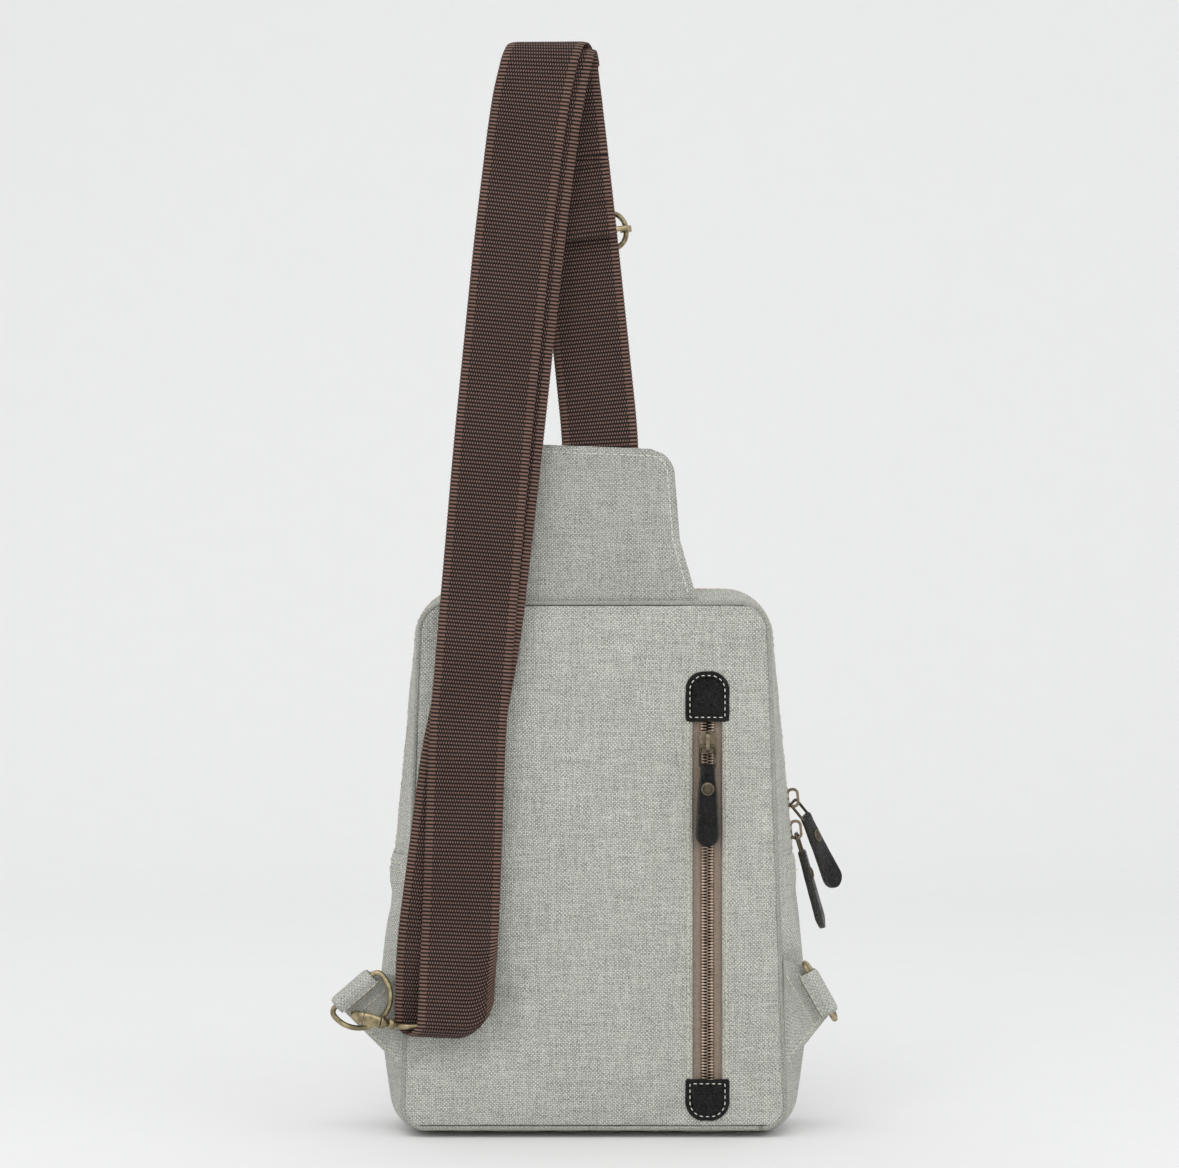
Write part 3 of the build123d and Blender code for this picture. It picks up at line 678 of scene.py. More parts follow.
def split_part(name, label, node):
    """One sewn piece of the settled cloth, given its thickness."""
    start, count, part_faces = ranges[name]
    part = slice(start, start + count)
    obj = add_mesh(label, SOFT[part], part_faces, np.concatenate(uvs)[part])
    thick = obj.modifiers.new("Thickness", "SOLIDIFY")
    thick.thickness = CANVAS_T * MM
    thick.offset = -1.0
    fine = obj.modifiers.new("Smooth", "SUBSURF")
    fine.levels = 1
    fine.render_levels = 1
    finish_piece(obj, CANVAS, "bag", node, slot="canvas")


split_part("rear_strip", "gusset_strip_rear_cloth", "gusset_zip_strip_rear")
split_part("front_strip", "gusset_strip_front_cloth", "gusset_zip_strip_front")
split_part("lower", "gusset_lower_cloth", "gusset_lower")
split_part("back", "back_panel_cloth", "back_panel")
split_part("front", "front_panel_cloth", "front_panel")


# ---- tubes, ribbons, stitches
def tangent_at(line, i, closed=False):
    n = len(line)
    if closed:
        return unit(line[(i + 1) % n] - line[i - 1])
    return unit(line[min(i + 1, n - 1)] - line[max(i - 1, 0)])


def tube(line, radius, sides=10, closed=False, up=(0, 1, 0)):
    """A tube along a polyline; radius may be one number or one per point."""
    line = np.asarray(line, float)
    n = len(line)
    radii = np.broadcast_to(np.asarray(radius, float), (n,))
    pts, uv, total = [], [], 0.0
    for i in range(n):
        t = tangent_at(line, i, closed)
        a = unit(np.cross(t, up))
        b = np.cross(t, a)
        if i:
            total += np.linalg.norm(line[i] - line[i - 1])
        for k in range(sides):
            angle = 2 * math.pi * k / sides
            pts.append(line[i] + radii[i] * (math.cos(angle) * a + math.sin(angle) * b))
            uv.append((total, radii[i] * angle))
    f = grid_faces(n, sides, wrap_rows=True, wrap_cols=True) if closed else sleeve_faces(n, sides)
    return pts, f, uv


def ribbon(path, across_dirs, half, thick, columns, start_v=0.0, crown=None, rib=0.0):
    """A flat band along a path with rounded edges. Returns points, faces and uv; v runs along the path."""
    path = np.asarray(path, float)
    lengths = arc_lengths(path)
    share = np.linspace(-1, 1, columns + 1)
    face = np.sqrt(np.clip(1 - np.abs(share) ** 10, 0.0, 1)) * 0.92 + 0.08
    pts, uv = [], []
    for i, across in enumerate(across_dirs):
        w = unit(across)
        normal = unit(np.cross(tangent_at(path, i), w))
        wave = rib * (0.5 + 0.5 * math.cos(2 * math.pi * (lengths[i] + start_v) / RIB))
        for side, c in round_trip(columns + 1):
            s = share[c]
            lift = 0.0 if crown is None else crown[i] * (1 - s * s)
            off = s * (half - (wave if abs(s) == 1 else 0))
            depth = side * (thick / 2 * face[c] - (wave * 0.5 if face[c] > 0.5 else 0))
            pts.append(path[i] + w * off + normal * (depth + lift))
            uv.append((off, lengths[i] + start_v))
    return pts, sleeve_faces(len(path), 2 * (columns + 1)), uv


def strip(line, across, out, near, far, thick, columns=4):
    """A flat tape beside a line, from near to far across it."""
    pts, uv = [], []
    lengths = arc_lengths(line)
    for i in range(len(line)):
        for side, c in round_trip(columns + 1):
            off = near + (far - near) * c / columns
            pts.append(line[i] + across[i] * off + out[i] * (side * thick / 2))
            uv.append((off, lengths[i]))
    return pts, sleeve_faces(len(line), 2 * (columns + 1)), uv


class Batch:
    """Many small solids gathered into one mesh."""

    def __init__(self):
        self.v, self.f, self.uv = [], [], []

    def add(self, pts, f, uv=None):
        start = len(self.v)
        self.v.extend(pts)
        self.f.extend([tuple(i + start for i in q) for q in f])
        self.uv.extend(uv if uv is not None else [(0, 0)] * len(pts))
        return self

    def build(self, name, material, body, slot, *nodes):
        obj = face_outward(add_mesh(name, self.v, self.f, self.uv))
        return finish_piece(obj, material, body, *nodes, slot=slot)


def stitches(batch, line, normals, length=STITCH_LEN, gap=STITCH_GAP, radius=THREAD_R, sink=0.35):
    """A row of stitches along a line, each arching up from its two needle holes."""
    line, normals = np.asarray(line, float), np.asarray(normals, float)
    lengths = arc_lengths(line)
    count = int(lengths[-1] / (length + gap))
    if count < 1:
        return
    pitch = lengths[-1] / count
    for k in range(count):
        start = k * pitch + gap / 2
        stops = np.linspace(start, start + pitch - gap, 5)
        here = sample(line, at=stops)
        out = np.stack([np.interp(stops, lengths, normals[:, i]) for i in range(3)], axis=1)
        height = np.array([-sink, 0.5, 0.85, 0.5, -sink]) * radius
        radii = np.array([0.6, 1.0, 1.0, 1.0, 0.6]) * radius
        batch.add(*tube(here + out * height[:, None], radii, sides=6, up=tuple(unit(out[2]))))


def cloth_stitches(batch, line, lift=0.05, **kw):
    """Stitches along the places on the bag's cloth that lie nearest to a line."""
    line = np.asarray(line, float)
    spots, normals = [], []
    for p in sample(line, max(3, int(arc_lengths(line)[-1] / 1.5))):
        spot, normal, _, _ = SURFACE.find_nearest(Vector(p))
        spots.append(np.array(spot) + np.array(normal) * lift)
        normals.append(np.array(normal))
    stitches(batch, spots, normals, **kw)


def sew_onto(batch, surface, places, side, **kw):
    """Stitches where (x, z) places meet a surface seen from the side's end of the Y axis."""
    spots = []
    for x, z in places:
        hit = surface.ray_cast(Vector((x, side * 90.0, z)), Vector((0, -side, 0)))[0]
        if hit is not None:
            spots.append(np.array(hit))
    stitches(batch, spots, np.tile([0, side, 0.0], (len(spots), 1)), **kw)


# ---- seams: a roll of canvas all round each panel, in a darker copy of the canvas that paints the shade along the seams
def panel_seam(name, sign, node):
    line = panel_line()
    middle = line.mean(0)
    inward = np.array([p - unit(p - middle) * 0.3 for p in line])
    centre, radii = [], []
    for x, z in sample(looped(inward), int(arc_lengths(line)[-1] / 2.2))[:-1]:
        spot = np.array([x, sign * (HALF_DEPTH - 0.7), z])
        centre.append(spot + np.array([0, sign * 0.15 * lumps(*spot, scale=0.06), 0]))
        radii.append(SEAM_R * (1 + 0.10 * lumps(*spot, scale=0.25)))
    Batch().add(*tube(centre, radii, sides=12, closed=True)).build(name, CANVAS_SHADE, "bag", "seam", node)


panel_seam("seam_roll_rear", -1, "panel_seam_rear")
panel_seam("seam_roll_front", 1, "panel_seam_front")


# ---- zips: chains of interlocking teeth on woven tapes
TOOTH_PITCH, CHAIN_WIDTH, TOOTH_TALL = 1.5, 6.3, 1.9
# one tooth from root to tip: place along its length, width and height, as shares
TOOTH_ROOT = [(-1, 1.3, 0.6), (-0.8, 1.9, 0.95), (-0.2, 1.9, 1.0)]
TOOTH_SHAPE = TOOTH_ROOT + [(0.05, 1.0, 0.9), (0.85, 0.9, 0.8), (1, 0.6, 0.5)]


def tooth(at, along, across, out):
    """One zip tooth: a rounded bead on the tape's side narrowing to an arm that meshes with the other row."""
    reach, wide = CHAIN_WIDTH * 0.55, TOOTH_PITCH * 0.44
    pts = []
    for k, fat, high in TOOTH_SHAPE:
        for t, s in ((-1, -1), (1, -1), (1, 1), (-1, 1)):
            round_off = 0.8 if s > 0 else 1.0
            sideways, upward = t * wide / 2 * fat * round_off, s * TOOTH_TALL / 2 * high
            pts.append(at + across * (k * reach / 2) + along * sideways + out * upward)
    return pts, sleeve_faces(len(TOOTH_SHAPE), 4)


def chain(line, across, out, spread_at=None):
    """Two combs of teeth meshing along a line; spread_at says how far apart they stand at each length."""
    batch = Batch()
    lengths = arc_lengths(line)
    for k in range(int(lengths[-1] / (TOOTH_PITCH / 2))):
        s = (k + 0.5) * TOOTH_PITCH / 2
        here, ahead, behind = sample(line, at=[s, min(s + 0.5, lengths[-1]), max(s - 0.5, 0)])
        w, o = (np.array([np.interp(s, lengths, d[:, i]) for i in range(3)]) for d in (across, out))
        side = 1 if k % 2 else -1
        apart = spread_at(s) if spread_at else 0.0
        middle = here + w * side * (CHAIN_WIDTH * 0.225 + apart)
        batch.add(*tooth(middle, unit(ahead - behind), unit(-w * side), unit(o)))
    return batch


def tapes(line, across, out, near, far, thick):
    batch = Batch()
    for side in (-1, 1):
        batch.add(*strip(line, across, out, side * near, side * far, thick))
    return batch


zip_points = [i for i in upper_idx if RING_Z[i] > FOLD_Z - 4]
MAIN_LINE = np.array([(BAND_PTS[i][0], 0.0, BAND_PTS[i][1]) for i in zip_points])
MAIN_OUT = np.array([(BAND_N[i][0], 0.0, BAND_N[i][1]) for i in zip_points])
MAIN_ACROSS = np.tile([0.0, 1.0, 0.0], (len(MAIN_LINE), 1))
main_tapes = tapes(MAIN_LINE - MAIN_OUT * 1.0, MAIN_ACROSS, MAIN_OUT, 2.6, 11.5, 0.7)
main_tapes.build("main_zip_tape_pair", TAPE, "bag", "tape", "main_zip_tapes")
main_teeth = chain(MAIN_LINE - MAIN_OUT * 0.2, MAIN_ACROSS, MAIN_OUT)
main_teeth.build("main_zip_teeth", TEETH, "bag", "teeth", "main_zip_chain")

stops = np.arange(chain_low[2], chain_high[2] + 0.1, 2.0)
BACK_LINE = np.array([(ZIP_X, -34.2, z) for z in stops])
BACK_OUT = np.tile([0.0, -1.0, 0.0], (len(stops), 1))
BACK_ACROSS = np.tile([1.0, 0.0, 0.0], (len(stops), 1))
back_tapes = tapes(BACK_LINE - BACK_OUT * 0.5, BACK_ACROSS, BACK_OUT, 2.2, 11.0, 0.6)
back_tapes.build("back_zip_tape_pair", TAPE, "bag", "tape", "back_zip_tapes")
slider_z = sum(box_mm("back_zip_slider"))[2] / 2


def opening(s):
    """The teeth part a little above the slider."""
    return 0.55 * float(ease(s + chain_low[2], slider_z - 2, slider_z + 8))


back_teeth = chain(BACK_LINE, BACK_ACROSS, BACK_OUT, opening)
back_teeth.build("back_zip_teeth", TEETH, "bag", "teeth", "back_zip_chain")

# ---- leather patches over the ends of the back zip
PATCH_INSET, PATCH_SEWN, PATCH_CORNER = 1.1, 2.2, 1.2
# the patch's rounded rim, as (how far in from the outline, depth below the top)
PATCH_RIM = [(0.0, 0.75), (0.18, 0.3), (0.55, 0.06), (PATCH_INSET, 0.0)]
PATCH_RINGS = (0.92, 0.84, 0.80, 0.76, 0.66, 0.55, 0.44, 0.33, 0.22, 0.12, 0.004)


def patch(name, node, round_top):
    """A padded leather patch, square at one end and round at the other, sewn down with pale thread."""
    low, high = box_mm(node)
    round_end = (high[0] - low[0]) / 2 - 1.5
    radii = [PATCH_CORNER, round_end, round_end, PATCH_CORNER]
    if not round_top:
        radii = [round_end, PATCH_CORNER, PATCH_CORNER, round_end]

    def outline(inset, corner_radii, step):
        x0, x1, z0, z1 = low[0] + inset, high[0] - inset, low[2] + inset, high[2] - inset
        return rounded([(x1, z0), (x1, z1), (x0, z1), (x0, z0)], corner_radii, step)

    outer = filled_outline(outline(0.0, radii, 0.6), 0.8)
    centre = outer.mean(0)
    outer = np.array([c + unit(c - centre) * 0.28 * lumps(c[0], 1, c[1], scale=0.22) for c in outer])
    inward = np.array([unit(centre - c) for c in outer])
    top = low[1] + 0.3
    rings = [[(x, high[1], z) for x, z in outer]]
    for pull_in, drop in PATCH_RIM:
        rings.append([(x, top + drop, z) for x, z in outer + inward * pull_in])
    for share in PATCH_RINGS:
        groove = 0.22 if 0.77 < share < 0.83 else 0.0
        dome = 0.25 * (1 - share ** 2) * (0.6 if share > 0.8 else 1)
        ring = []
        for x, z in centre + (outer + inward * PATCH_INSET - centre) * share:
            pebble = 0.22 * lumps(x, 0, z, scale=0.35) + 0.10 * lumps(x, 3, z, scale=0.9)
            ring.append((x, top + groove - dome + abs(pebble), z))
        rings.append(ring)
    pts = [p for ring in rings for p in ring]
    batch = Batch().add(pts, sleeve_faces(len(rings), len(outer)), [(p[0], p[2]) for p in pts])
    batch.build(name, LEATHER, "bag", "leather", node)
    run = looped(outline(PATCH_SEWN, [max(0.5, r - PATCH_SEWN) for r in radii], 0.5))
    thread = Batch()
    sewn_line = [(x, top + 0.24, z) for x, z in run]
    stitches(thread, sewn_line, np.tile([0, -1.0, 0], (len(run), 1)), length=2.2, gap=0.8, radius=0.26)
    thread.build(name + "_stitches", PALE_THREAD, "bag", "leather")


patch("zip_patch_top", "back_zip_patch_top", True)
patch("zip_patch_bottom", "back_zip_patch_bottom", False)

# a row of stitching down each side of the back zip
zip_thread = Batch()
sewn_z = np.arange(box_mm("back_zip_patch_bottom")[0][2] + 14, box_mm("back_zip_patch_top")[1][2] - 20, 2.0)
for side in (-1, 1):
    line = [(ZIP_X + side * 9.5, -HALF_DEPTH, z) for z in sewn_z]
    cloth_stitches(zip_thread, line, radius=0.42, length=2.3, gap=0.9)
zip_thread.build("back_zip_stitches", THREAD, "bag", "canvas")

# topstitching beside the main zip, and two rows below the fold of the lower gusset
band_thread = Batch()
for side in (-1, 1):
    cloth_stitches(band_thread, MAIN_LINE + np.array([0, side * 9.4, 0]) + MAIN_OUT * 0.8, radius=0.3)
DEPTHS = np.arange(-31, 31.1, 2.0)
for side in (-1, 1):
    for drop in (4.0, 8.5):
        z = FOLD_Z - drop
        x = BAND_PTS[nearest(BAND_PTS, 1, z, BAND_PTS[:, 0] * side > 0)][0] + side * 1.5
        runs = [DEPTHS]
        if side > 0:
            runs = [DEPTHS[DEPTHS < -PULL_REACH], DEPTHS[DEPTHS > PULL_REACH]]
        for run in runs:
            cloth_stitches(band_thread, [(x, y, z) for y in run], radius=0.3)
        if side > 0:
            # sunk behind the pulls, which swing close to the cloth
            sunk = DEPTHS[abs(DEPTHS) <= PULL_REACH]
            cloth_stitches(band_thread, [(x, y, z) for y in sunk], lift=-0.1, radius=0.22)
band_thread.build("gusset_stitches", THREAD, "bag", "canvas")

# ---- tongue: two faces of canvas over padding
tongue_low, tongue_high = box_mm("tongue_back")
TONGUE_FOOT, TONGUE_TOP = tongue_low[2], tongue_high[2]
TONGUE_Y = (tongue_low[1] + box_mm("tongue_front")[1][1]) / 2
TONGUE_CORNER, TONGUE_HEM = 12.0, 3.6
TONGUE_WIDTHS = ([262, 295, 341], [52.0, 42.5, 39.0])
# the strap is sewn in between the faces over this half width
STRAP_COVER = 24.0


def tongue_half(z):
    wide = np.interp(z, *TONGUE_WIDTHS)
    near, corner = TONGUE_TOP - z, TONGUE_CORNER
    if near < corner:
        wide -= corner - math.sqrt(max(0.0, corner ** 2 - (corner - near) ** 2))
    return wide


def tongue_slope(x, z):
    """The top edge runs a little downhill to the right."""
    return -0.038 * x * float(ease(z, 296, TONGUE_TOP))


def tongue_point(side, share, z):
    """A point on one face: puffed between a rounded edge, a sewn groove and the flat top."""
    half = tongue_half(z)
    x, from_edge = share * half, (1 - abs(share)) * half
    top_fade = float(ease(TONGUE_TOP - z, 0, 4.5))
    round_off = math.sqrt(max(0.0, 1 - (1 - min(1.0, from_edge / 2.6)) ** 2))
    groove = 1 - 0.34 * math.exp(-((from_edge - TONGUE_HEM) / 0.9) ** 2)
    strap_cover = 1.0 if abs(x) < STRAP_COVER else top_fade
    puff = 1.9 * round_off * groove * max(top_fade, 0.8 * strap_cover)
    crease = 0.45 * lumps(x * 0.035, side * 4.0, z * 0.05)
    crease += 0.5 * lumps(x * 0.012, 9.0 + side, z * 0.10) * float(ease(z, 262, 285) * ease(345 - z, 0, 40))
    y = float(np.clip(TONGUE_Y + side * puff + crease, -34.3, -29.2))
    return (x, y, z + tongue_slope(x, z))


def tongue():
    corner = TONGUE_TOP - TONGUE_CORNER
    round_z = TONGUE_TOP - TONGUE_CORNER * np.cos(np.linspace(0, 1, 10) * math.pi / 2)
    heights = np.concatenate([np.arange(TONGUE_FOOT, corner, 2.2), round_z])
    heights = np.unique(np.clip(heights, TONGUE_FOOT, TONGUE_TOP - 0.05))
    shares = np.concatenate([[-1, -0.975, -0.94], np.linspace(-0.88, 0.88, 25), [0.94, 0.975, 1]])
    pts = []
    for z in heights:
        pts += [tongue_point(-1, s, z) for s in shares] + [tongue_point(1, s, z) for s in shares[::-1]]
    f = sleeve_faces(len(heights), 2 * len(shares))
    batch = Batch().add(pts, f, [(p[0] + 300, p[2]) for p in pts])
    batch.build("tongue_cloth", TONGUE_CANVAS_PAINTED_SHADE, "bag", "canvas", "tongue_back", "tongue_front")
    surface = BVHTree.FromPolygons(pts, f)
    run = [(tongue_half(z) - TONGUE_HEM, z) for z in np.arange(268, TONGUE_TOP - 9, 1.5)]
    for a in np.linspace(0.1, math.pi / 2, 8):
        reach = TONGUE_CORNER - TONGUE_HEM
        run.append((tongue_half(corner) - TONGUE_CORNER + reach * math.cos(a), corner + reach * math.sin(a)))
    run += [(-x, z) for x, z in run[::-1]]
    run = [(x, z + tongue_slope(x, z)) for x, z in close_gap(np.array(run), 1.4)]
    thread = Batch()
    for side in (-1, 1):
        sew_onto(thread, surface, run, side, radius=0.32, length=2.4, gap=0.9)
    thread.build("tongue_stitches", PALE_THREAD, "bag", "canvas")


tongue()

# ---- strap
ROW = RIB / 3
REAR_Y, RETURN_Y, FRONT_Y, INNER_Y, FOLD_Y = -31.6, -34.0, -51.0, -48.2, -41.0
BOTTOM_Z, RETURN_END_Z = 55.8, 508.0
LOOP_Z = box_mm("strap_upper_outer")[1][2] - 10.5
# where the strap's layers lie: heights, and x at those heights; the inner layer's is a shift from the front's
FRONT_MARKS = ([50, 117, 200, 340, 440, 500, 524, 540], [-68, -64.8, -62, -50, -40, -32.7, -28.6, -23.5])
REAR_MARKS = ([300, 326, 345, 437, 500, 536], [3.7, 3.5, 3.2, -6.4, -13.4, -17.8])
INNER_MARKS = (
    [50, 97, 120, 160, 185, 215, 250, 340, 540],
    [-11.8, -12.2, -10.2, -6.4, -4.2, 0.4, 3.6, 6.0, 7.2],
)


def soft_interp(z, marks):
    """Piecewise-linear marks, averaged over a few centimetres so that nothing kinks."""
    return float(np.mean(np.interp(z + np.linspace(-14, 14, 9), *marks)))


def front_x(z):
    return soft_interp(z, FRONT_MARKS)


def rear_x(z):
    return soft_interp(z, REAR_MARKS)


def inner_x(z):
    return front_x(z) + soft_interp(z, INNER_MARKS)


def wobble(z, amount, seed):
    """Webbing never hangs perfectly flat."""
    return amount * lumps(seed, z * 0.011, 0.3)


def front_y(z):
    return FRONT_Y - 0.2 + wobble(z, 0.8, 2.0)


def inner_y(z):
    return FOLD_Y + (INNER_Y - FOLD_Y) * float(ease(z, BOTTOM_Z, 96)) + wobble(z, 0.4, 7.0)


def return_y(z):
    return RETURN_Y - 0.15 * float(ease(RETURN_END_Z - z, 0, 20))


def straight(y_at, x_at, z_from, z_to, step=4.0):
    n = max(2, int(abs(z_to - z_from) / step))
    return [(x_at(z), y_at(z), z) for z in np.linspace(z_from, z_to, n + 1)]


def half_turn(y_from, y_to, z, x_from, x_to, up, stops=14):
    mid, reach = (y_from + y_to) / 2, (y_from - y_to) / 2
    rise = abs(reach) if up else -abs(reach)
    out = []
    for k in range(1, stops):
        a = math.pi * k / stops
        out.append((x_from + (x_to - x_from) * k / stops, mid + reach * math.cos(a), z + rise * math.sin(a)))
    return out


def strap_path():
    """From the tongue up and over, down the front, round the fold, up inside and over to the return end."""
    p = straight(lambda z: REAR_Y, rear_x, 320, LOOP_Z)
    p += half_turn(REAR_Y, FRONT_Y, LOOP_Z, rear_x(LOOP_Z), front_x(LOOP_Z), True)
    p += straight(front_y, front_x, LOOP_Z, BOTTOM_Z)
    p += half_turn(FRONT_Y, FOLD_Y, BOTTOM_Z, front_x(BOTTOM_Z), inner_x(BOTTOM_Z), False)
    p += straight(inner_y, inner_x, BOTTOM_Z, LOOP_Z)
    p += half_turn(INNER_Y, RETURN_Y, LOOP_Z, inner_x(LOOP_Z), rear_x(LOOP_Z) + 1.2, True)
    p += straight(lambda z: RETURN_Y, rear_x, LOOP_Z, RETURN_END_Z)
    return np.array(p)


def corner_lift(off, z):
    """The right-hand corner of the bottom fold rides up as a rounded curl."""
    reach, height = 14.5, 17.0
    past = np.clip((off - (WEB_W / 2 - reach)) / reach, 0, 1)
    return height * (1 - np.sqrt(1 - past ** 2 * 0.98)) * (1 - ease(z, 50, 108))


def square_on(path):
    """Directions across a strap: square to its straight runs, passing from one to the next in the turns."""
    tangent = np.gradient(path, axis=0)
    tangent /= np.linalg.norm(tangent, axis=1)[:, None]
    across = np.array([1.0, 0, 0]) - tangent[:, :1] * tangent
    across /= np.linalg.norm(across, axis=1)[:, None]
    across[:, 2] *= 1 - 0.85 * ease(path[:, 2], 488, 526)
    straight_runs = (np.abs(tangent[:, 1]) < 0.12) & (path[:, 2] > 68)
    where = np.arange(len(path))
    known, known_at = across[straight_runs], where[straight_runs]
    across = np.stack([np.interp(where, known_at, known[:, i]) for i in range(3)], axis=1)
    return across / np.linalg.norm(across, axis=1)[:, None]


def webbing_band(path, width, start_v=0.0):
    """Ribbed webbing along a path: points, faces, uv and length."""
    path = evenly(np.array(path), ROW)
    lengths = arc_lengths(path)
    crown = [0.35 * lumps(5.0, l * 0.01, 1.0) for l in lengths]
    pts, f, uv = ribbon(path, square_on(path), width / 2, WEB_T, 18, start_v, crown, rib=0.34)
    return np.array(pts), f, np.array(uv), lengths[-1]


def webbing_piece(name, pts, f, uv, bend, *nodes):
    """Webbing in place of its CAD nodes; bend is not used."""
    obj = face_outward(add_mesh(name, pts, f, uv))
    obj.data.materials.append(WEBBING)
    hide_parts(*nodes)
    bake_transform(obj)


pts, f, uv, strap_len = webbing_band(strap_path(), WEB_W)
pts[:, 2] += corner_lift(uv[:, 0], pts[:, 2])
strap_bend = ("bag", "strap_loop", (-0.020, -0.0413, 0.341), (-0.020, -0.0413, 0.367))
webbing_piece(
    "strap_webbing", pts, f, uv, strap_bend,
    "strap_anchor", "strap_rear_bend", "strap_front_bend", "strap_inner_bend",
    "strap_lower", "strap_upper_outer", "strap_upper_inner",
)

# the return end runs down to the adjuster's bar, round it and is sewn to itself
BAR_Y = box_mm("adjuster_bar")[0][1] + 1.3
BAR_Z = 446.0
BAR_MID = np.array([rear_x(BAR_Z), BAR_Y, BAR_Z])
LEAN_UP = unit([-12.0, 0.0, 99.0])
WRAP_R = 2.2


def hem_point(s, y):
    p = BAR_MID + LEAN_UP * s
    return (p[0], y, p[2])


def hem_y(s):
    """The turned-up end: clear of the layer in front of it at the bar, sewn close to it above."""
    return BAR_Y - WRAP_R + 2.35 * float(ease(s, 2, 15))


tail = straight(return_y, rear_x, RETURN_END_Z, 484.0)
tail += [hem_point(s, BAR_Y + WRAP_R) for s in np.linspace(34, 1, 12)]
for a in np.linspace(0.15, math.pi - 0.15, 9):
    tail.append(hem_point(-WRAP_R * math.sin(a), BAR_Y + WRAP_R * math.cos(a)))
tail += [hem_point(s, hem_y(s)) for s in np.linspace(1, 34.5, 14)]
pts, f, uv, _ = webbing_band(tail, WEB_W - 0.6, strap_len)
slack_bend = ("strap_loop", "adjuster", (-0.0138, -0.034, 0.507), (-0.0117, -0.034, 0.486))
webbing_piece("strap_return_and_hem", pts, f, uv, slack_bend, "strap_return_slack", "strap_hem")

hem_thread = Batch()
for s in (31.5, 14.0):
    x, y, z = hem_point(s, hem_y(s) - WEB_T / 2 - 0.05)
    line = [(x + off, y, z + 0.12 * off) for off in np.linspace(-17, 17, 30)]
    stitches(hem_thread, line, np.tile([0, -1.0, 0], (30, 1)), radius=0.28)
hem_thread.build("hem_stitches", BROWN_THREAD, "adjuster", "webbing")

# ---- tabs: folded canvas loops sewn into the rear seam
ROLL_LEN, ROLL_Y, ROLL_R, ROLL_PLY = 23.0, -41.2, 4.5, 1.7
TAB_SEAM_Y, WEDGE_END_Y = -34.1, -34.3
TAB_STITCHES = {"length": 2.2, "gap": 0.8, "radius": 0.3}


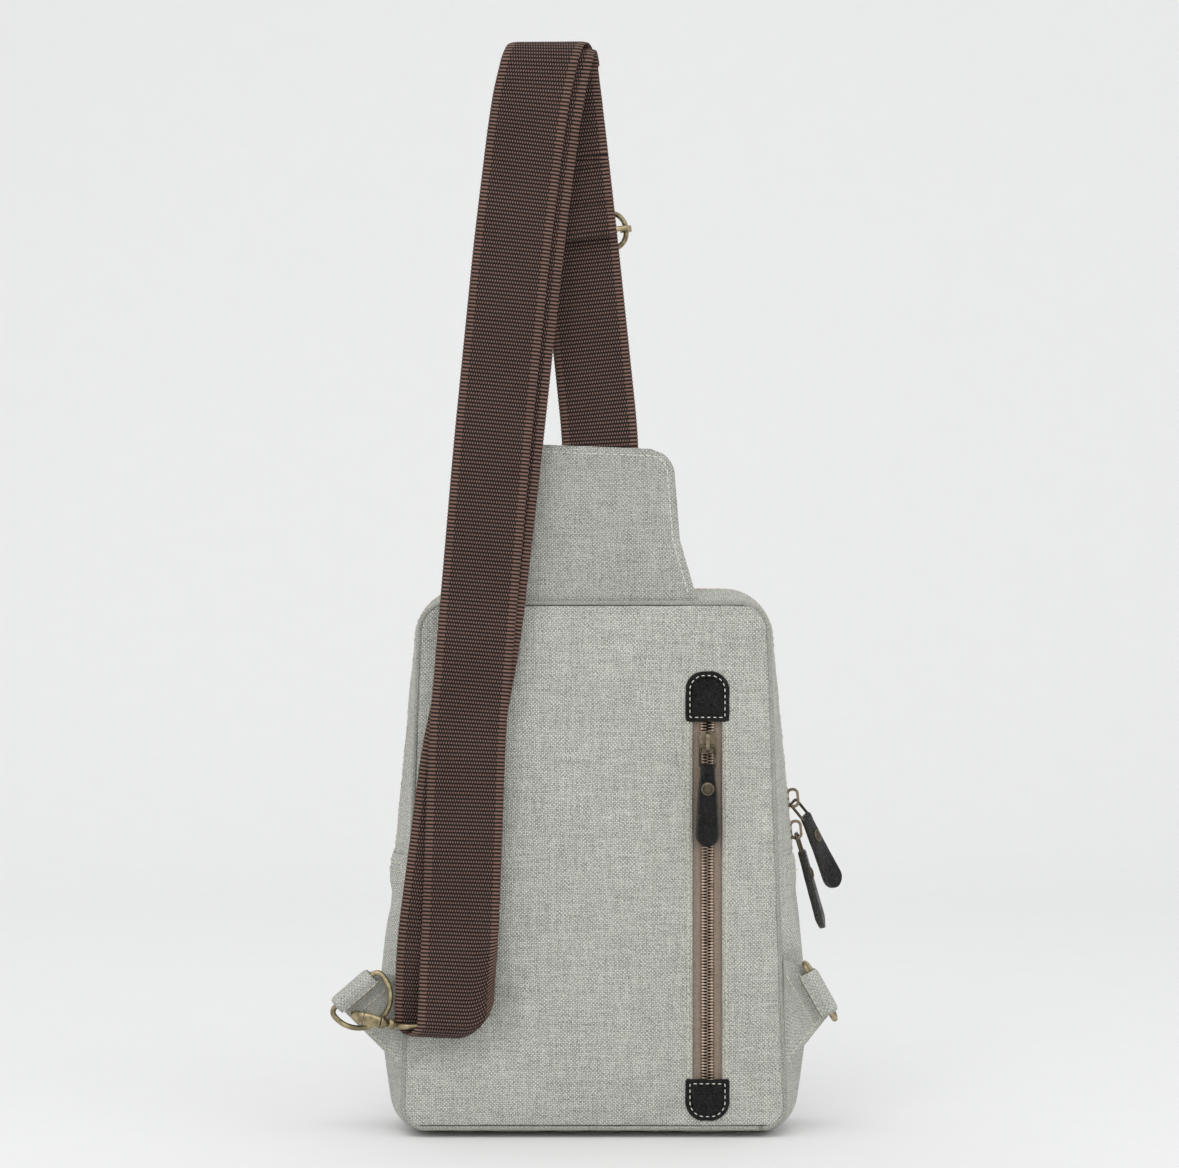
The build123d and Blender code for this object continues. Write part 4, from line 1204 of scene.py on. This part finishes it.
class Tab:
    """One tab: its roll's centre, the direction up along the roll, and the direction away from the bag."""

    def __init__(self, name, x, z, angle, sign, seam_top_z):
        self.name = name
        up = np.array([math.cos(math.radians(angle)), 0, math.sin(math.radians(angle))])
        self.up = up * np.sign(up[2])
        self.out = sign * np.array([self.up[2], 0, -self.up[0]])
        self.centre = np.array([x, ROLL_Y, z])
        self.roll = [self.centre + self.up * ROLL_LEN / 2, self.centre - self.up * ROLL_LEN / 2]
        seam_top, seam_low = (sign * 93.4, TAB_SEAM_Y, seam_top_z), (sign * 94.2, TAB_SEAM_Y, 33.0)
        self.seam = [np.array(seam_top), np.array(seam_low)]

    def across(self, ends, b):
        """A point between an edge's top and low end."""
        return ends[0] * (1 - b) + ends[1] * b

    def loop(self):
        """The canvas rolled round the ring's bar, a teardrop seen end on."""
        r = ROLL_R - 0.9
        line = [np.array([0, 6.9, 0]) + self.out * t for t in np.linspace(-2.0, 1.0, 3)]
        for a in np.linspace(-2.2, 2.2, 27):
            line.append(self.out * (r * math.cos(a) * 1.05) + np.array([0, -r * math.sin(a), 0]))
        line.append(line[-1] - self.out * 2.2 + np.array([0, 2.2, 0]))
        line.append(-self.out * 4.2 + np.array([0, 3.6, 0]))
        line = evenly(np.array([self.centre + p for p in line]), 0.7)
        for _ in range(3):
            line[1:-1] = (line[:-2] + line[1:-1] * 2 + line[2:]) / 4
        return ribbon(line, np.tile(self.up, (len(line), 1)), ROLL_LEN / 2, ROLL_PLY, 14)

    def wedge_point(self, ply, face, a, b):
        """A point of the wedge: a runs from the seam to the roll, b from its top to its low edge."""
        end = self.across(self.roll, b)
        end = np.array([end[0], WEDGE_END_Y, end[2]]) + self.out * 1.5
        p = self.across(self.seam, b) * (1 - a) + end * a
        edge = min(1.0, min(b, 1 - b) * 14)
        pleat = 0.9 * math.sin(math.pi * a) * math.sin(2 * math.pi * (b * 1.6 + 0.2))
        from_roll = float((p - self.centre) @ self.out)
        hem = float(ease(from_roll, -11.4, -10.6) - ease(from_roll, -3.4, -2.6)) + float(ease(b, 0.86, 0.885))
        fold = 0.55 * min(1.0, hem) if ply < 0 and face < 0 else 0.0
        return p + np.array([0, ply * 0.72 + face * 0.62 * (0.35 + 0.65 * edge) - 0.5 * pleat - fold, 0])

    def wedge_ply(self, ply, rows=44, cols=40):
        """One of the two plies back to the seam, with a shallow pleat and raised hems."""
        places = [(r / (rows - 1), c / (cols - 1)) for r in range(rows) for c in range(cols)]
        pts = [self.wedge_point(ply, face, a, b) for face in (-1, 1) for a, b in places]
        uv = [(a * 26, b * 50) for a, b in places] * 2
        quads, n = grid_faces(rows, cols), rows * cols
        rim = [r * cols for r in range(rows)] + [(rows - 1) * cols + c for c in range(1, cols)]
        rim += [r * cols + cols - 1 for r in range(rows - 2, -1, -1)] + list(range(cols - 2, 0, -1))
        sides = [(i, n + i, n + j, j) for i, j in zip(rim, rim[1:] + rim[:1])]
        return pts, quads + [tuple(n + i for i in q[::-1]) for q in quads] + sides, uv

    def build(self):
        batch = Batch().add(*self.loop()).add(*self.wedge_ply(-1)).add(*self.wedge_ply(1))
        batch.build(f"tab_{self.name}_cloth", TAB_CANVAS, "bag", "canvas", f"tab_{self.name}")
        surface = BVHTree.FromPolygons([tuple(p) for p in batch.v], batch.f)
        thread = Batch()
        for t in (-4.3, -5.8, -10.1):
            reach = ROLL_LEN * (1.0 + 0.04 * abs(t))
            row = [self.centre + self.up * reach * k + self.out * t for k in np.linspace(-0.46, 0.46, 24)]
            sew_onto(thread, surface, [(p[0], p[2]) for p in row], -1, **TAB_STITCHES)
        start, end = self.across(self.seam, 0.93), self.across(self.roll, 0.93)
        row = [start * (1 - a) + end * a for a in np.linspace(0.05, 0.85, 20)]
        sew_onto(thread, surface, [(p[0], p[2]) for p in row], -1, **TAB_STITCHES)
        thread.build(f"tab_{self.name}_stitches", THREAD, "bag", "canvas")


Tab("left", -118.1, 72.8, 41.0, -1, 79.0).build()
Tab("right", 111.0, 72.0, -61.0, 1, 88.0).build()


# ---- pieces that hang on a hinge
def hanging_frame(node, joint):
    """A hanging piece's hinge point, its axes (along the hinge, down, square to both) and its extent."""
    axis = unit(JOINTS[joint]["axis"])
    origin = np.array(JOINTS[joint]["pos_m"]) / MM
    co = vertices_mm(node) - origin
    down = co.mean(0)
    down = unit(down - (down @ axis) * axis)
    axes = (axis, down, np.cross(axis, down))
    local = np.stack([co @ v for v in axes], axis=1)
    return origin, axes, local.min(0), local.max(0)


def pull(name, node, joint, body, twist=0.0):
    """A tapering leather tab folded over its link: rounded edges, a gentle curl, paler cut edges."""
    origin, (axis, down, face), low, high = hanging_frame(node, joint)
    wide, length, thick = (high[0] - low[0]) / 2, high[1] - low[1], high[2] - low[2]
    middle = (low + high) / 2
    start = origin + axis * middle[0] + face * middle[2]
    straight_end = length - wide
    rows = [0, 0.15, 0.5, 1.0, 1.7, *np.linspace(2.6, straight_end, 26)]
    rows += [straight_end + wide * math.sin(a) for a in np.linspace(0, math.pi / 2, 14)[1:-1]]
    rows.append(length - 0.03)
    cols = 13
    pts, uv = [], []
    for s in rows:
        w = np.interp(s, [0, 6, 14, straight_end], [wide * 0.60, wide * 0.60, wide * 0.80, wide])
        if s > straight_end:
            w = math.sqrt(max(0.02, wide ** 2 - (s - straight_end) ** 2))
        shoulder = math.sqrt(max(0.0, 1 - (1 - min(1.0, s / 1.5)) ** 2))
        t = thick / 2 * (0.25 + 0.75 * shoulder) * (1 - 0.3 * float(ease(s, straight_end, length)))
        turn = math.radians(twist) * float(ease(s, 14, length))
        broad = axis * math.cos(turn) + face * math.sin(turn)
        flat = face * math.cos(turn) - axis * math.sin(turn)
        for side, c in round_trip(cols):
            k = -1 + 2 * c / (cols - 1)
            rim = min(1.0, (1 - abs(k)) * w / 1.1)
            depth = t * (0.25 + 0.75 * math.sqrt(max(0.0, 1 - (1 - rim) ** 2)))
            depth += 0.10 * lumps(k * 3, s * 0.3, side * 5.0)
            pts.append(start + down * (low[1] + s) + broad * k * w + flat * side * depth)
            uv.append((k * w, s))
    ring = 2 * cols
    obj = Batch().add(pts, sleeve_faces(len(rows), ring), uv).build(name, LEATHER, body, "leather", node)
    obj.data.materials.append(CUT_LEATHER)
    cut_columns = (0, cols - 2, cols - 1, cols, ring - 2, ring - 1)
    for i, polygon in enumerate(obj.data.polygons):
        if i % ring in cut_columns:
            polygon.material_index = 1


pull("back_pull_leather", "back_zip_pull", "back_zip_pull_swing", "back_zip_pull_body")
pull("upper_pull_leather", "main_zip_upper_pull", "upper_zip_pull_swing", "upper_zip_pull_body", -26.0)
pull("lower_pull_leather", "main_zip_lower_pull", "lower_zip_pull_swing", "lower_zip_pull_body")


def d_ring(name, node, joint, body):
    """A wire D: straight bar, small rounded shoulders and a wide arc."""
    origin, (axis, down, across), low, high = hanging_frame(node, joint)
    wire = (high[2] - low[2]) / 2
    half, depth = (high[0] - low[0]) / 2 - wire, high[1] - wire
    shoulder, arc = 3.2, half - 0.5
    corners = [(-half, 0), (half, 0), (half, depth), (-half, depth)]
    outline = filled_outline(rounded(corners, [shoulder, shoulder, arc, arc], 0.8))
    line = [origin + axis * a + down * d for a, d in outline]
    ring = Batch().add(*tube(line, wire, sides=14, closed=True, up=tuple(across)))
    ring.build(name, BRASS, body, "brass", node)


d_ring("left_d_ring_wire", "d_ring_left", "left_ring_swing", "left_ring_body")
d_ring("right_d_ring_wire", "d_ring_right", "right_ring_swing", "right_ring_body")

# ---- clasp: a cast hook with a leaf-shaped front
# in the clasp's own frame: along its length, across its opening
GATE_PIVOT = (3.6, -5.4)
EYE_LONG, EYE_WIDE, EYE_CORNER = 8.6, 5.4, 4.6
GATE_FROM, GATE_TO, GATE_GAP = -3.6, 5.6, 0.4
HOOK_WIRE, GATE_WIRE, NECK_WIRE = 1.6, 1.5, 1.15
NECK_START, NECK_END = 8.8, 14.0
COLLAR = {8.6: 1.8, 9.4: 2.7, 10.2: 2.8, 11.2: 2.7, 12.2: 2.2}
# the strap ring's wire path, and how much shorter it is drawn so that its end stays in the webbing
LOOP_LONG, LOOP_WIDE, LOOP_CORNER, LOOP_TUCK = 42.3, 8.5, 3.4, 2.8

CLASP_X = unit(JOINTS["clasp_swivel"]["axis"])
CLASP_X = CLASP_X * np.sign(CLASP_X[0])
CLASP_Z = unit(JOINTS["gate_open"]["axis"])
CLASP_Z = CLASP_Z * np.sign(CLASP_Z[2])
CLASP_Y = np.cross(CLASP_Z, CLASP_X)
CLASP_AT = np.array(JOINTS["gate_open"]["pos_m"]) / MM - CLASP_X * GATE_PIVOT[0] - CLASP_Y * GATE_PIVOT[1]


def leaf(x, y):
    """How much taller the casting is than its wire: a leaf outline along the front, plain wire behind."""
    return 1 + float(ease(-y, 1.5, 5.0)) * 1.15 * max(0.0, 1 - (x / 9.6) ** 2)


def cast_wire(points, radius):
    """A wire through places on the clasp, drawn out in height by the leaf outline."""
    local, f, uv = tube([(x, y, 0) for x, y in points], radius, sides=14, up=(0, 0, 1))
    return [CLASP_AT + CLASP_X * x + CLASP_Y * y + CLASP_Z * z * leaf(x, y) for x, y, z in local], f, uv


def clasp():
    a, b = EYE_LONG, EYE_WIDE
    ring = close_gap(looped(rounded([(a, -b), (a, b), (-a, b), (-a, -b)], [EYE_CORNER] * 4, 0.5)), 0.5)
    first = int(np.argmin(np.hypot(ring[:, 0] - GATE_TO, ring[:, 1] + b)))
    ring = np.roll(ring[:-1], -first, axis=0)
    last = int(np.argmin(np.hypot(ring[:, 0] - GATE_FROM, ring[:, 1] + b)))
    hook = Batch().add(*cast_wire(ring[: last + 1], HOOK_WIRE))
    hook.add(*cast_wire([(x, 0) for x in COLLAR], list(COLLAR.values())))
    hook.build("clasp_hook_cast", BRASS, "hook_body", "brass", "clasp_hook")
    gate_x = np.linspace(GATE_FROM + GATE_GAP, GATE_TO - GATE_GAP, 18)
    gate = Batch().add(*cast_wire([(x, -b) for x in gate_x], GATE_WIRE))
    gate.build("clasp_gate_cast", BRASS, "gate_body", "brass", "clasp_gate")


def strap_ring():
    """The flat wire loop that the webbing is folded through, on the neck that turns in the hook."""
    low, high = box_mm("clasp_strap_ring")
    wire = (high[1] - low[1] - LOOP_WIDE) / 2
    _, y, z = CLASP_AT + CLASP_X * NECK_END
    near, far = high[0] - wire - LOOP_LONG, high[0] - wire - LOOP_TUCK
    half = LOOP_WIDE / 2
    corners = [(near, -half), (far, -half), (far, half), (near, half)]
    outline = filled_outline(rounded(corners, [LOOP_CORNER] * 4, 0.6))
    ring = Batch().add(*tube([(a, y + b, z) for a, b in outline], wire, sides=12, closed=True, up=(0, 0, 1)))
    neck = [CLASP_AT + CLASP_X * a for a in np.linspace(NECK_START, NECK_END, 6)]
    ring.add(*tube(neck, NECK_WIRE, sides=12, up=tuple(CLASP_Z)))
    ring.build("clasp_strap_ring_wire", BRASS, "bag", "brass", "clasp_strap_ring")


clasp()
strap_ring()


# ---- metal and hidden parts keep their CAD shape
def dress(node, material, bevel=0.0):
    obj = frame["nodes"][node]
    obj.data.materials.clear()
    obj.data.materials.append(material)
    obj.data.polygons.foreach_set("use_smooth", [True] * len(obj.data.polygons))
    if bevel:
        mod = obj.modifiers.new("Edge", "BEVEL")
        mod.width = bevel * MM
        mod.segments = 2
        mod.limit_method = "ANGLE"
        mod.angle_limit = math.radians(35)
        mod.harden_normals = True


for node in ("adjuster_frame", "adjuster_bar"):
    dress(node, BRASS)
for group in ("back_zip", "main_zip_upper", "main_zip_lower"):
    dress(f"{group}_slider", DARK_BRASS, 0.25)
    dress(f"{group}_link", DARK_BRASS)
    dress(f"{group}_rivet", DARK_BRASS, 0.3)
dress("main_lining", LINING)
dress("back_pocket_bag", LINING)
dress("back_padding", PADDING)
dress("tongue_padding", PADDING)


# ---- studio, in metres
def backdrop():
    """A pale sweep: floor, curve and wall in one sheet, its floor a little below the bag."""
    front, back, radius, top, reach = -3.0, 1.3, 0.9, 4.5, 4.0
    profile = [(front, 0.0), (back, 0.0)]
    for a in np.linspace(0.1, math.pi / 2, 16):
        profile.append((back + radius * math.sin(a), radius - radius * math.cos(a)))
    profile.append((back + radius, top))
    pts = [(x / MM, y / MM, z / MM - 0.4) for y, z in profile for x in (-reach, reach)]
    obj = add_mesh("backdrop", pts, grid_faces(len(profile), 2))
    mat, tree, shader = new_material("backdrop")
    paper = noise_node(tree, object_coords(tree), 35)
    colour = mix_colour(tree, paper, (0.858, 0.862, 0.862), (0.882, 0.886, 0.886))
    tree.links.new(colour, shader.inputs["Base Color"])
    shader.inputs["Roughness"].default_value = 0.95
    shader.inputs["Specular IOR Level"].default_value = 0.1
    obj.data.materials.append(mat)


def area_light(name, place, target, size, power):
    data = bpy.data.lights.new(name, "AREA")
    data.shape = "RECTANGLE"
    data.size, data.size_y = size
    data.energy = power
    obj = bpy.data.objects.new(name, data)
    obj.location = place
    obj.rotation_euler = (Vector(target) - Vector(place)).to_track_quat("-Z", "Y").to_euler()
    bpy.context.scene.collection.objects.link(obj)


backdrop()
area_light("key", (-0.3, -1.7, 1.9), (0, 0, 0.25), (1.5, 1.3), 14)
area_light("fill", (1.5, -1.6, 1.0), (0, 0, 0.2), (1.6, 1.6), 5)
area_light("low", (0, -1.6, 0.12), (0, 0, 0.05), (2.0, 0.3), 1.4)
area_light("rear", (-0.9, 1.2, 1.5), (0, 0, 0.2), (1.0, 0.8), 1.3)
world = bpy.data.worlds.new("studio")
world.use_nodes = True
world.node_tree.nodes["Background"].inputs[0].default_value = (1, 1, 1, 1)
world.node_tree.nodes["Background"].inputs[1].default_value = 0.84
bpy.context.scene.world = world
bpy.context.scene.view_settings.view_transform = "Standard"

# the camera looks straight along +Y, from in front of the back panel
CAMERA_Y, CAMERA_Z, VIEW_WIDTH, VIEW_Y = -1.85, 0.273, 0.582, -0.036
camera_data = bpy.data.cameras.new("camera")
camera_data.sensor_width = 36
camera_data.lens = 36 * (VIEW_Y - CAMERA_Y) / VIEW_WIDTH
camera = bpy.data.objects.new("camera", camera_data)
camera.location = (-0.0022, CAMERA_Y, CAMERA_Z)
camera.rotation_euler = (math.pi / 2, 0, 0)
bpy.context.scene.collection.objects.link(camera)
bpy.context.scene.camera = camera
